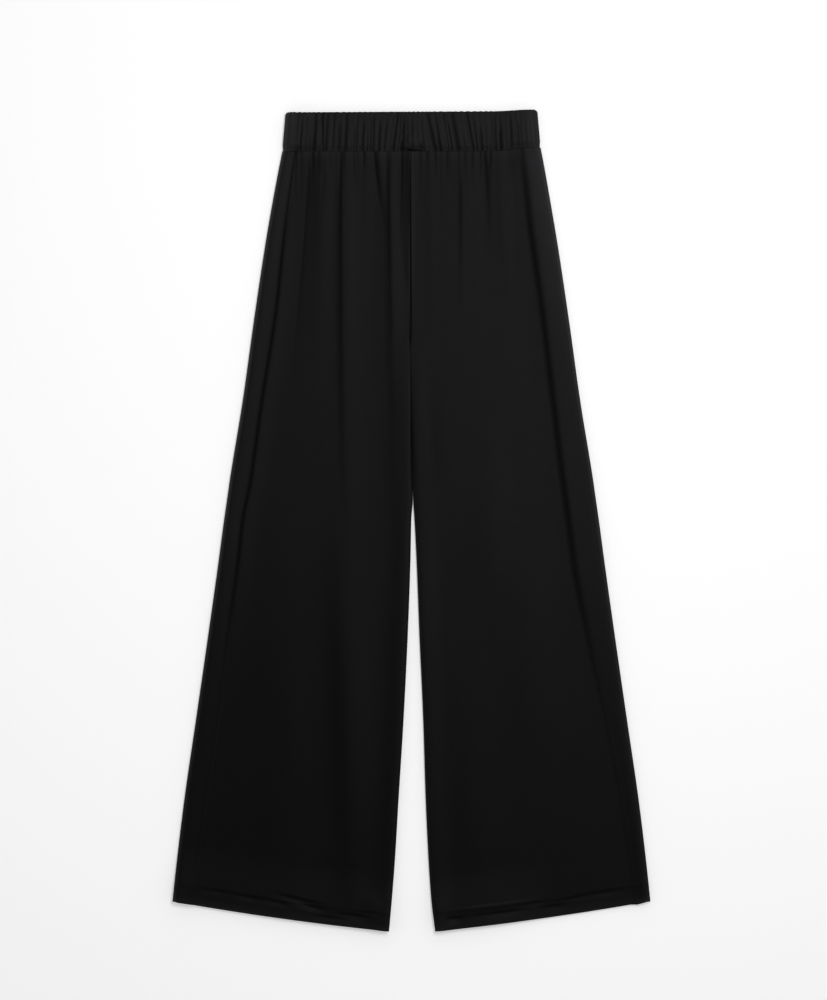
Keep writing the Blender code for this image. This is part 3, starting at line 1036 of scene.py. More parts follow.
@dataclass
class FrontPanel(Panel):
    """A front leg panel: rolled inner edge, gathered and folded flat, and side seam."""

    relief: FrontRelief
    level: float = 4.4
    lowest: float = 2.7
    crown_width: float = 13.0
    crown_least: float = 0.25
    crown_down: Change = Change(0.3, 1.0, 30.0, 130.0)
    seam_zone: float = 8.0
    groove_depth: float = 0.9
    groove_width: float = 1.4
    # Shade painted in the centre seam, paler where light reaches in near the crotch, and highlights
    # painted on the inner edge down the leg and on the centre seam's crest.
    groove_shade: Change = Change(0.0, 1.0, 10.0, 60.0)
    groove_shade_width: float = 2.1
    lit: float = 2.2
    lit_at: float = 295.0
    lit_run: float = 55.0
    inner_wear: Change = Change(0.0, 1.0, 330.0, 420.0)
    inner_highlight_width: float = 3.2
    crest_wear: float = 1.9
    crest_highlight_at: float = 2.8
    crest_highlight_width: float = 1.3
    lip_run: float = 14.0
    overlap: Change = Change(1.0, 0.0, 47.0, 235.0)
    overlap_height: float = 1.4
    ramp: Change = Change(11.5, 1.5, 100.0, 190.0)
    crest: float = 3.6
    hem_curl: float = 1.0
    hem_curl_zone: float = 4.5
    layer: ClassVar[str] = "front"
    columns: ClassVar[tuple[int, ...]] = (14, 106, 16)
    row_steps: ClassVar[tuple[int, ...]] = (56, 96, 104, 44)
    outward: ClassVar[float] = 1.0
    stitched: ClassVar[tuple[float, float]] = (0.5, 2.9)

    def hem_at(self, station: Array) -> Array:
        """How far down this panel's hem lies at each station.

        Args:
            station: places across the panel.

        Returns:
            Distances below the waist seam.
        """
        cut = self.cut
        inner_part, flat_part = zones(station, 2)
        flat_share = (cut.side_seam_share - cut.lip_share) * flat_part
        return cut.hem_down(cut.lip_share * inner_part + flat_share)

    def surface(self, station: Array, down_share: Array) -> tuple[Array, Array]:
        """The cloth's outer face, and its painted shade, or below 0 its painted highlight.

        The flat height is the level plus all the relief, kept over the lowest height by a
        soft maximum, ln(1 + e^2h) / 2. It falls to the side seam and to the centre seam,
        and below the crotch it runs on into the rolled lip.

        Args:
            station: 0 to 1 across the inner edge, to 2 across the flat, to 3 at the seam.
            down_share: 0 at the waist seam and 1 at the hem.

        Returns:
            Points in metres, and the painted shading of each one.
        """
        cut, lay = self.cut, LAYS[self.side]
        inner_part, flat_part, seam_part = zones(station, 3)
        hem = self.hem_at(station)
        down = down_share * hem
        up = hem - down
        inner = cut.side_column("inner", self.side, down)
        strip = cut.side_column("strip", self.side, down)
        edge = cut.column("outer", down) - strip - cut.seam_gap / 2
        flat_width = edge - inner - cut.lip_zone - self.seam_zone
        across = cut.lip_zone * inner_part + flat_width * flat_part + self.seam_zone * seam_part
        out = inner + across
        to_seam = edge - out
        x = self.side.value * out

        height, hollow = self.relief.relief(x, down, up)
        shown = at_least(self.crown_least, lay.shown.at(down))
        crown = lay.crown * shown * self.crown_down.at(down)
        standing, rise_at_centre = self.centre_rise(across, down)
        height += self.level + crown * bell(to_seam, self.crown_width) + rise_at_centre
        height = self.lowest + np.logaddexp(0.0, 2.0 * (height - self.lowest)) / 2.0
        fall = (1.0 - to_seam / lay.zone).clip(0.0) ** 2
        height += (cut.seam_level(self.side, down) - height) * fall
        height -= self.hem_curl * (1.0 - up / self.hem_curl_zone).clip(0.0) ** 2
        groove = self.groove_depth * bell(across, self.groove_width)
        if self.side is Side.RIGHT:
            groove = groove * (1.0 - standing)

        leg = cut.leg(down)
        rolled_out, rise, upright = cut.lip(inner, inner_part, down)
        start = cut.lip_middle + cut.lip_start(down, upright)
        level = cut.lip_level.at(down)
        rolled = start + (level - start) * rise
        run_on = height + (level - height) * bell(across - cut.lip_zone, self.lip_run)
        leg_height = np.where(station <= 1.0, rolled, run_on)
        out = np.where(station < 1.0, out + (rolled_out - out) * leg, out)
        height = (height - groove) * (1.0 - leg) + leg_height * leg
        # pulled is the shade painted along the hem's stitch line.
        turned, pulled = cut.turned_hem(x, up)
        height += turned * smoothstep(inner_part) + cut.lift(x, up)

        # Painted shading: shade in the centre seam, at the stitch line and beside the side seam,
        # highlights along the outer fold, the hem and the waist, and shade on the lower leg.
        hollow += self.inner_shade(out - inner, down) + pulled
        hollow += cut.seam_shade(self.side, to_seam, down)
        hollow -= cut.wear(self.side, to_seam + strip, down, up)
        # A highlight painted on the crest of the left panel at the centre seam.
        if self.side is Side.LEFT:
            crest = bell(across - self.crest_highlight_at, self.crest_highlight_width)
            hollow -= self.crest_wear * standing * crest
        return cut.place(self.side.value * out, down, height), hollow

    def inner_shade(self, from_edge: Array, down: Array) -> Array:
        """The shade painted on the inner edge at the centre seam, and the highlight down the leg.

        The seam's bell curve is paler where the light reaches into it, near the crotch.

        Args:
            from_edge: distances from the inner edge.
            down: distances below the waist seam.

        Returns:
            Painted shade, below 0 where a highlight is painted.
        """
        lighter = self.inner_wear.at(down)
        lit = self.lit * bell(down - self.lit_at, self.lit_run)
        seam = self.groove_shade.at(down) * (1.0 - lit) * bell(from_edge, self.groove_shade_width)
        brighten = LAYS[self.side].inner_wear * bell(from_edge, self.inner_highlight_width)
        return seam * (1.0 - lighter) - brighten * lighter

    def centre_rise(self, across: Array, down: Array) -> tuple[Array, Array]:
        """The centre seam stands up at the waist, the wearer's left panel over the right.

        The right panel climbs to it in an even ramp, height times (1 - across / width), that
        narrows down to the overlap's end. The left one falls away as a bell curve.

        Args:
            across: distances from the centre seam.
            down: distances below the waist seam.

        Returns:
            How far the seam stands up, from 1 at the waist to 0, and the panel's rise.
        """
        standing = self.overlap.at(down)
        if self.side is Side.LEFT:
            slope = bell(across, self.crest)
        else:
            slope = (1.0 - across / self.ramp.at(down)).clip(0.0)
        return standing, self.overlap_height * standing * slope


@dataclass
class BackPanel(Panel):
    """A back leg panel: flat on the floor, round the outer fold and in to the side seam."""

    edge_depth: float = 8.0
    roll_power: float = 1.6
    centre_shift: Change = Change(0.8, 0.0, 370.0, 408.0)
    trough_height: float = 0.55
    trough_least: float = 0.15
    trough_run: float = 620.0
    trough_wander: float = 9.0
    wander_lengths: tuple[float, float] = (130.0, 60.0)
    trough_waves: tuple[Wave, Wave] = (Wave(13.0, 0.0), Wave(31.0, 1.1))
    layer: ClassVar[str] = "back"
    columns: ClassVar[tuple[int, ...]] = (8, 56, 30, 26)
    row_steps: ClassVar[tuple[int, ...]] = (36, 60, 76, 34)
    outward: ClassVar[float] = -1.0
    stitched: ClassVar[tuple[float, float]] = (0.5, 3.9)

    def hem_at(self, station: Array) -> Array:
        """How far down this panel's hem lies at each station.

        Args:
            station: places across the panel.

        Returns:
            Distances below the waist seam.
        """
        cut = self.cut
        inner_part, flat_part, fold_part, strip_part = zones(station, 4)
        share = cut.lip_share * inner_part + (cut.fold_share - cut.lip_share) * flat_part
        share += (1.0 - cut.fold_share) * np.sin(np.pi * fold_part)
        return cut.hem_down(share - (cut.fold_share - cut.side_seam_share) * strip_part)

    def troughs(self, x: Array, down: Array) -> Array:
        """Soft hollows that lift the underside a little off the floor between its folds.

        Args:
            x: distances from the centre line, over 0 on the wearer's left.
            down: distances below the waist seam.

        Returns:
            Heights over the floor.
        """
        along, across = self.wander_lengths
        wander = self.trough_wander * np.sin(down / along + x / across)
        first, second = self.trough_waves
        wave = waves(x + wander, (first,)) * waves(x - wander, (second,))
        height = self.trough_height * bell(down, self.trough_run)
        return height * smoothstep(wave - self.trough_least)

    def surface(self, station: Array, down_share: Array) -> tuple[Array, Array]:
        """The cloth's outer face, down on the floor and up on the strip, and its painted shading.

        Below the outer edge the fold is a quarter ellipse, and above it a wider, leaner
        curve, with the sine and the cosine raised to a power. The strip runs on from it
        and falls in a step to the side seam.

        Args:
            station: 0 to 1 across the inner edge, to 2 across the floor, to 3 round the
                fold and to 4 across the strip on top.
            down_share: 0 at the waist seam and 1 at the hem.

        Returns:
            Points in metres, and the painted shade of each one, below 0 its painted highlight.
        """
        cut, lay = self.cut, LAYS[self.side]
        inner_part, flat_part, fold_part, strip_part = zones(station, 4)
        angle = np.pi * fold_part
        hem = self.hem_at(station)
        down = down_share * hem
        up = hem - down
        inner = cut.side_column("inner", self.side, down)
        outer = cut.column("outer", down)
        flat_width = outer - self.edge_depth - inner - cut.lip_zone
        strip_width = cut.side_column("strip", self.side, down) - lay.roll - cut.seam_gap / 2
        above = fold_part > 0.5
        power = np.where(above, self.roll_power, 1.0)
        depth = np.where(above, lay.roll, self.edge_depth)
        rolled = outer - depth + depth * np.sin(angle).clip(0.0) ** power
        flat_out = inner + cut.lip_zone * inner_part + flat_width * flat_part
        out = np.where(fold_part > 0, rolled, flat_out) - strip_width * strip_part
        x = self.side.value * out

        cosine, edge_level = np.cos(angle), cut.edge_level(self.side, down)
        height = edge_level / 2 * (1.0 - np.sign(cosine) * np.abs(cosine) ** power)
        step = lay.strip_step * lay.shown.at(down)
        top = cut.seam_level(self.side, down) + step
        height += (top - edge_level) * smoothstep(strip_part)
        to_seam = strip_width * (1.0 - strip_part)
        height -= step * (1.0 - to_seam / lay.zone).clip(0.0) ** 2
        # pulled is the shade painted along the hem's stitch line.
        turned, pulled = cut.turned_hem(x, up)
        on_strip = smoothstep(2.0 * strip_part)
        height += turned * on_strip
        # Shade painted at the stitch line and beside the side seam, and highlights painted along
        # the fold, the hem and the waist.
        hollow = (pulled + cut.seam_shade(self.side, to_seam, down)) * on_strip
        hollow -= cut.wear(self.side, outer - out, down, up)
        flat = smoothstep(4.0 * flat_part) * smoothstep(4.0 * (1.0 - flat_part))
        height += self.troughs(x, down) * flat

        leg = cut.leg(down)
        rolled_out, rise, upright = cut.lip(inner, inner_part, down)
        start = cut.lip_middle - cut.lip_start(down, upright)
        out = np.where(station < 1.0, out + (rolled_out - out) * leg, out)
        height = np.where(station < 1.0, start * (1.0 - rise) * leg, height)
        x = self.side.value * out
        height += cut.lift(x, up)
        x = x + self.centre_shift.at(down) * (1.0 - smoothstep(out / cut.lip_zone))
        return cut.place(x, down, height), hollow


@dataclass
class BandRelief:
    """The gathers of the waistband casing: round crests with sharp valleys between them."""

    gathers: Gathers
    creases: tuple[BandCrease, ...] = BAND_CREASES
    slants: tuple[Bump, ...] = (Bump(28, 9.0, 17.0), Bump(63, 6.5, 19.0), Bump(-21, -6.0, 11.0))
    pitch: float = 6.5
    depth: float = 0.8
    sharpness: float = 0.75
    seed: int = 11
    valley_count: int = 140
    weakest: float = 0.35
    reach: tuple[float, float] = (0.3, 0.9)
    fade_least: float = 0.25
    fade_run: float = 0.35
    top_loss: float = 0.35
    left_end: Change = Change(1.0, 0.5, 126.0, 138.0)
    crease_share: float = 0.75
    crease_top_loss: float = 0.4
    crease_fade_run: float = 0.3
    crease_rounding: float = 0.15
    crease_offset: float = 0.39
    # How deep a valley lies where the shade painted in it is full.
    shade_depth: float = 1.5
    pinch_depth: float = 1.6
    pinch_at: float = 1.0
    pinch_half: float = 13.0
    pinch_height: float = 0.027
    pinch_line: tuple[float, float] = (-0.038, -0.0031)
    pinch_ends: tuple[Dent, ...] = (
        Dent(-11.5, 0.04, 0.9, 2.4, 0.12),
        Dent(10.5, 0.04, 1.0, 2.4, 0.12),
        Dent(-1.5, 0.24, -0.8, 8.0, 0.14),
    )
    valleys: Array = field(init=False)

    def __post_init__(self) -> None:
        """Draws each valley's depth and how far up it reaches."""
        draw = np.random.default_rng(self.seed)
        self.valleys = draw.uniform(0.0, 1.0, (2, self.valley_count))

    def lean(self, x: Array) -> Array:
        """How far the gathers slant: away from the pinch at the centre front."""
        return sum(bump.height * bell(x - bump.x, bump.width) for bump in self.slants)

    def depth_at(self, x: Array, share: Array) -> Array:
        """How far each point sinks below the crests.

        Each valley runs between two crests as 1 - |cos(pi count)|^sharpness, times its own
        depth, and fades above the share of the height that it reaches.

        Args:
            x: places along the waist, at the waist seam.
            share: 0 at the waist seam and 1 at the top of the casing.

        Returns:
            Depths in millimetres.
        """
        count = self.gathers.phase(x + self.lean(x) * share, self.pitch)
        valley = 1.0 - np.abs(np.cos(np.pi * count)) ** self.sharpness
        which = (np.floor(count).astype(int) + self.valley_count // 2) % self.valley_count
        reach = self.reach[0] + self.reach[1] * self.valleys[1][which]
        beyond = smoothstep((share - reach) / self.fade_run + 0.5)
        fade = at_least(self.fade_least, 1.0 - beyond)
        strong = at_least(self.weakest, self.valleys[0][which])
        total = self.depth * strong * valley * fade * (1.0 - self.top_loss * share)
        total *= self.left_end.at(x)
        for crease in self.creases:
            line = crease.x_seam + (crease.x_top - crease.x_seam) * share
            offset = np.sqrt((x - line) ** 2 + self.crease_rounding) - self.crease_offset
            past = (share - crease.reach) / self.crease_fade_run
            along = 1.0 - smoothstep(past + 0.5 * (crease.reach < 1.0))
            deep = self.crease_share * crease.depth * (1.0 - self.crease_top_loss * share)
            total += deep * along * np.exp(-offset / crease.width)
        return total

    def shade(self, depth: Array) -> Array:
        """The shade painted on a place that lies so deep under the crests."""
        return (depth / self.shade_depth).clip(0.0, 1.0)

    def pinch(self, x: Array, share: Array) -> Array:
        """The crease along the seam under the centre front, and the hollows at its ends.

        Args:
            x: places along the waist, at the waist seam.
            share: shares of the casing's height, below 0 under the seam.

        Returns:
            Depths in millimetres.
        """
        start, slope = self.pinch_line
        along = np.exp(-(((x - self.pinch_at) / self.pinch_half) ** 4))
        total = self.pinch_depth * along * bell(share - start - slope * x, self.pinch_height)
        for end in self.pinch_ends:
            near = bell(x - end.x, end.half_length) * bell(share - end.share, end.half_height)
            total += end.depth * near
        return total


@dataclass
class WaistBand:
    """The elastic casing: what its front and its back share."""

    cut: Cut
    relief: BandRelief
    wall: float = 2.2
    seam_roll: float = 0.4
    hang: float = 1.1
    hang_run: float = 9.0
    hang_least: float = 0.4
    # Highlights painted on the casing towards its folds.
    end_wear: tuple[float, float] = (4.6, 3.4)
    end_highlight_width: tuple[float, float] = (8.0, 16.0)
    face_rows: int = 44
    roll_rows: int = 7
    inner_rows: tuple[float, ...] = (-30.0, -15.0)
    seam_relief: float = 0.7
    relief_turn: float = 2.2
    corner: float = 3.2
    corner_share: float = 0.08
    top_wave: float = 0.35
    top_power: int = 6
    column_step: float = 0.62
    drop: float = 1.3
    drop_tilt: float = 0.005
    # Shade painted along the waist seam's stitch row, in dashes.
    stitch_row: float = -1.6
    stitch_pitch: float = 5.2
    stitch_dash: float = 0.55
    stitch_hollow: Change = Change(0.36, 0.9, 0.0, 60.0)
    crest: float = 0.75
    end_level: float = 7.6

    def section(self, wall: float) -> tuple[Array, Array, Array, Array]:
        """The casing cut across, once round.

        From the seam, the outer face rises to the top, half an ellipse turns over it, and
        the inner face comes back down.

        Args:
            wall: the casing's thickness.

        Returns:
            Four arrays with one value for each point of the section: the distance down, the
            depth under the outer face, the relief's share, and the seam's soft curve.
        """
        seam, top = self.cut.seam_drop - self.cut.seam_gap / 2, -self.cut.band_height
        turn = np.linspace(np.pi / 2, 0.0, self.roll_rows)
        seam_down = seam - self.seam_roll * (1.0 - np.sin(turn))
        seam_depth = self.seam_roll * (1.0 - np.cos(turn[::-1]))[::-1]
        face = np.linspace(seam - self.seam_roll, top + wall / 2, self.face_rows)[1:-1]
        over = np.linspace(0.0, np.pi, 2 * self.roll_rows)
        over_down = top + wall / 2 - wall / 2 * np.sin(over)
        over_depth = wall / 2 * (1.0 - np.cos(over))
        back = np.array((*self.inner_rows, seam))
        down = np.concatenate((seam_down, face, over_down, back))
        depth = np.concatenate((seam_depth, 0.0 * face, over_depth, 0.0 * back + wall))
        hung = self.hang * (1.0 - smoothstep((seam - down) / self.hang_run))
        rising = np.linspace(self.seam_relief, 1.0, self.roll_rows)
        ending = smoothstep(1.0 - over / self.relief_turn)
        keep = np.concatenate((rising, 1.0 + 0.0 * face, ending, 0.0 * back))
        return down, depth, keep, hung * (keep > 0)

    def half(self, down: Array) -> Array:
        """Half the casing's width, a little narrower at its top."""
        widening = self.cut.band_half_seam - self.cut.band_half_top
        return self.cut.band_half_seam + widening * down / self.cut.band_height

    def end_painted_highlight(self, x: Array) -> Array:
        """The highlight painted on the casing towards its folds: a bell curve from each."""
        wear, width = (np.where(x < 0, *pair) for pair in (self.end_wear, self.end_highlight_width))
        return wear * bell(self.cut.band_half_seam - np.abs(x), width)

    def stitch_shade(self, x: Array, down: Array) -> Array:
        """Shade painted along the seam's stitch row: a bell curve across, in dashes along it."""
        dashes = at_least(self.stitch_dash, np.sin(2.0 * np.pi * x / self.stitch_pitch))
        return self.stitch_hollow.at(x) * dashes * bell(down - self.stitch_row, 1.0)

    def shade(self, x: Array, down: Array, depth: Array) -> Array:
        """Painted shading: shade in its gathers and stitches, less the highlight at its ends."""
        return self.relief.shade(depth) - self.end_painted_highlight(x) + self.stitch_shade(x, down)

    def top_drop(self, x: Array) -> Array:
        """How much lower than its cut the casing lies at its top: a little more on one side."""
        return self.drop - self.drop_tilt * x

    def edge_wave(self, x: Array) -> Array:
        """The top edge's slight ups and downs, a gather at a time."""
        count = self.relief.gathers.phase(x + self.relief.lean(x), self.relief.pitch)
        return self.top_wave * np.cos(2.0 * np.pi * count) * self.relief.gathers.strength(x)


@dataclass
class FrontBand(WaistBand):
    """The casing's front, from side seam to side seam."""

    level: float = 6.1
    end_rise: float = 18.0
    inside: float = 2.8
    least: float = 0.4

    def mesh(self, name: str) -> bpy.types.Mesh:
        """The casing as a closed body of cross sections along the waist.

        Args:
            name: the mesh's name.

        Returns:
            The mesh.
        """
        cut = self.cut
        left = cut.band_half_seam - cut.sections[0].strip_left - cut.seam_gap / 2
        right = cut.sections[0].strip_right + cut.seam_gap / 2 - cut.band_half_seam
        x = np.linspace(right, left, int((left - right) / self.column_step))[:, None]
        to_end = np.minimum(x - right, left - x)
        level = self.level + (self.end_level - self.level) * bell(to_end, self.end_rise)
        wall = self.level - self.inside
        down, depth, keep, hung = (part[None, :] for part in self.section(wall))
        hung = hung * at_least(self.hang_least, self.relief.gathers.strength(x))
        depth = np.minimum(depth + hung, wall)
        share = np.clip(-down / cut.band_height, 0.0, 1.0)
        sunk = self.relief.depth_at(x, share) + self.relief.pinch(x, -down / cut.band_height)
        relief = (sunk - self.crest) * keep
        thick = (level - self.inside) / wall
        outer = keep > 0
        height = np.maximum(level - depth * thick - relief, self.inside + self.least * outer)
        x_here = x * self.half(down) / cut.band_half_seam
        rise = self.edge_wave(x) * share**self.top_power - self.top_drop(x) * share
        rings = cut.place(x_here, down - rise, height)
        return tube_mesh(name, rings, self.shade(x, down, sunk) * outer)


@dataclass
class BackBand(WaistBand):
    """The casing's back, flat on the floor and turned up and over at both sides."""

    edge_height: float = 8.7
    edge_depth: float = 7.0
    roll: float = 7.0
    roll_power: float = 1.6
    under_share: float = 0.62
    turn_steps: int = 44

    def spine(self) -> tuple[Array, Array, Array]:
        """The outer face's line along the waist, from one side seam round to the other.

        Above the outer edge the turn is the wide, lean curve of the panels' edges, and
        below it a quarter ellipse.

        Returns:
            x, height, and the place among the gathers: x itself on top of the garment, and
            lengths added to it round each edge and under the back.
        """
        cut = self.cut
        angle = np.linspace(np.pi / 2, -np.pi / 2, self.turn_steps)
        above = angle > 0
        power = np.where(above, self.roll_power, 1.0)
        depth = np.where(above, self.roll, self.edge_depth)
        turned_x = cut.band_half_seam - depth * (1.0 - np.cos(angle).clip(0.0) ** power)
        turned_height = np.sign(np.sin(angle)) * np.abs(np.sin(angle)) ** power
        turned_height = self.edge_height / 2 * (1.0 + turned_height)
        halves = []
        for side in Side:
            strip = getattr(cut.sections[0], f"strip_{side.word}")
            seam_x = cut.band_half_seam - strip + cut.seam_gap / 2
            turn_x = cut.band_half_seam - self.roll
            steps = int((turn_x - seam_x) / self.column_step)
            x = np.linspace(seam_x, turn_x, steps, endpoint=False)
            share = smoothstep((turn_x - x) / (turn_x - seam_x))
            height = self.edge_height + (self.end_level - self.edge_height) * share
            x, height = np.append(x, turned_x), np.append(height, turned_height)
            run = run_of(np.hypot(np.diff(x), np.diff(height)))
            halves.append(side.value * np.stack((x, side.value * height, seam_x + run)))
        first, last = halves[0], halves[1][:, ::-1]
        steps = int(2 * first[0, -1] / self.column_step)
        floor = np.linspace(first[:, -1], last[:, 0], steps)[1:-1].T
        return tuple(np.concatenate((first, floor, last), axis=1))

    def mesh(self, name: str) -> bpy.types.Mesh:
        """The casing as a closed body of cross sections along its spine.

        Each section stands along the spine's normal, its tangent turned a quarter.

        Args:
            name: the mesh's name.

        Returns:
            The mesh.
        """
        cut = self.cut
        x, height, gather = (part[:, None] for part in self.spine())
        tangent = unit(np.stack((np.gradient(x[:, 0]), np.gradient(height[:, 0])), axis=-1))
        normal_x, normal_z = -tangent[:, 1:], tangent[:, :1]
        down, depth, keep, hung = (part[None, :] for part in self.section(self.wall))
        depth = np.minimum(depth + hung, self.wall)
        share = np.clip(-down / cut.band_height, 0.0, 1.0)
        on_top = smoothstep((1.0 + normal_z) / 2.0)
        deep = self.relief.depth_at(gather, share)
        relief = (deep - self.crest * on_top) * keep * at_least(self.under_share, on_top)
        sunk = depth * np.ones_like(relief) + relief
        x_here = (x - normal_x * sunk) * self.half(down) / cut.band_half_seam
        round_off = (self.corner * (share - 1.0) / self.corner_share + self.corner).clip(0.0)
        x_here = x_here - normal_x * round_off**2 / self.corner
        rise = self.edge_wave(gather) * share**self.top_power * on_top - self.top_drop(x) * share
        rings = cut.place(x_here, down - rise, height - normal_z * sunk)
        return tube_mesh(name, rings, self.shade(x, down, deep) * (keep > 0))


@dataclass
class HemStitching:
    """Two rows of fine thread, as the twin needle leaves them, along a turned hem."""

    cut: Cut
    row_gap: float = 3.2
    pitch: float = 3.3
    stitch_length: float = 2.5
    thread: float = 0.42
    sink: float = 0.04
    around: int = 6
    ring_places: tuple[float, ...] = (-0.86, -0.45, 0.45, 0.86)
    ring_sizes: tuple[float, ...] = (0.75, 1.0, 1.0, 0.75)
    samples: int = 4000
    nudge: float = 0.004

    def centres(self, panel: Panel, up: float) -> tuple[Array, Array, Array]:
        """Where one row's stitches lie.

        Args:
            panel: the panel whose surface carries them.
            up: the row's distance above the hem.

        Returns:
            Middle points, directions along the row, and outward normals.
        """
        station = np.linspace(*panel.stitched, self.samples)
        hem = panel.hem_at(station)
        points = panel.surface(station, (hem - up) / hem)[0]
        run = run_of(np.linalg.norm(np.diff(points, axis=0), axis=-1)) / MM
        where = np.interp(np.arange(self.pitch / 2, run[-1], self.pitch), run, station)
        hem = panel.hem_at(where)

        def near(across: float, below: float) -> Array:
            """The surface near each stitch."""
            return panel.surface(where + across, (hem - up) / hem + below)[0]

        along = unit(near(self.nudge, 0.0) - near(-self.nudge, 0.0))
        down = near(0.0, self.nudge / 8) - near(0.0, -self.nudge / 8)
        return near(0.0, 0.0), along, unit(np.cross(along, down))

    def capsule(self) -> tuple[Array, Array, Array]:
        """One stitch about the origin, along X: a round bar with domed ends.

        Returns:
            Its points in metres, and the faces of its sides and its ends.
        """
        half, radius = self.stitch_length / 2, self.thread / 2
        angle = 2 * np.pi * np.arange(self.around) / self.around
        x = np.repeat(np.array(self.ring_places) * half, self.around)
        sizes = np.array(self.ring_sizes) * radius
        y, z = (np.outer(sizes, turn).ravel() for turn in (np.cos(angle), np.sin(angle)))
        points = np.vstack((np.stack((x, y, z), -1), ((-half, 0, 0), (half, 0, 0))))
        sides, *ends = tube_faces(len(sizes), self.around)
        return points * MM, sides, np.vstack(ends)

    def mesh(self, name: str, panel: Panel) -> bpy.types.Mesh:
        """Both rows of one panel as one mesh.

        Args:
            name: the mesh's name.
            panel: the panel that carries the rows.

        Returns:
            The mesh of every stitch.
        """
        offsets = (-self.row_gap / 2, self.row_gap / 2)
        rows = [self.centres(panel, self.cut.hem_depth + offset) for offset in offsets]
        middle, along, normal = (np.vstack(part) for part in zip(*rows))
        outermost = (panel.outward * middle[:, 2]).argmax()
        normal *= np.sign(panel.outward * normal[outermost, 2])
        base, sides, ends = self.capsule()
        turned = np.stack((along, np.cross(normal, along), normal), axis=1)
        points = np.einsum("vk,skj->svj", base, turned) + middle[:, None]
        points = (points + normal[:, None] * self.sink * MM).reshape(-1, 3)
        shift = (np.arange(len(middle)) * len(base))[:, None, None]
        faces = [(part + shift).reshape(-1, part.shape[1]) for part in (sides, ends)]
        flat = points[:, :2] - points[:, :2].min(axis=0)
        return closed_mesh(name, points, tuple(faces), tuple(flat[part] for part in faces))


# Finishes


def linear_rgb(hex_colour: str) -> tuple[float, float, float, float]:
    """An sRGB hex colour as linear red, green, blue and alpha.

    Args:
        hex_colour: the colour, such as #ffffff.

    Returns:
        Four values from 0 to 1.
    """
    parts = np.array([int(hex_colour[i : i + 2], 16) for i in (1, 3, 5)]) / 255.0
    linear = np.where(parts <= 0.04045, parts / 12.92, ((parts + 0.055) / 1.055) ** 2.4)
    return (*map(float, linear), 1.0)


def add_node(
    tree: bpy.types.NodeTree, kind: str, inputs: dict | None = None, **settings: object
) -> bpy.types.Node:
    """Adds a node with its settings and links.

    Args:
        tree: the material's or the world's node tree.
        kind: the node's type.
        inputs: socket name or number to a value, or to the socket that feeds it.
        settings: the node's own properties.

    Returns:
        The node.
    """
    node = tree.nodes.new(kind)
    for name, value in settings.items():
        setattr(node, name, value)
    for key, value in (inputs or {}).items():
        if isinstance(value, bpy.types.NodeSocket):
            tree.links.new(value, node.inputs[key])
        else:
            node.inputs[key].default_value = value
    return node


def new_material(name: str) -> tuple[bpy.types.Material, bpy.types.NodeTree]:
    """A material with an empty node tree.

    Args:
        name: the material's name.

    Returns:
        The material and its node tree.
    """
    material = bpy.data.materials.new(name)
    material.use_nodes = True
    material.node_tree.nodes.clear()
    return material, material.node_tree


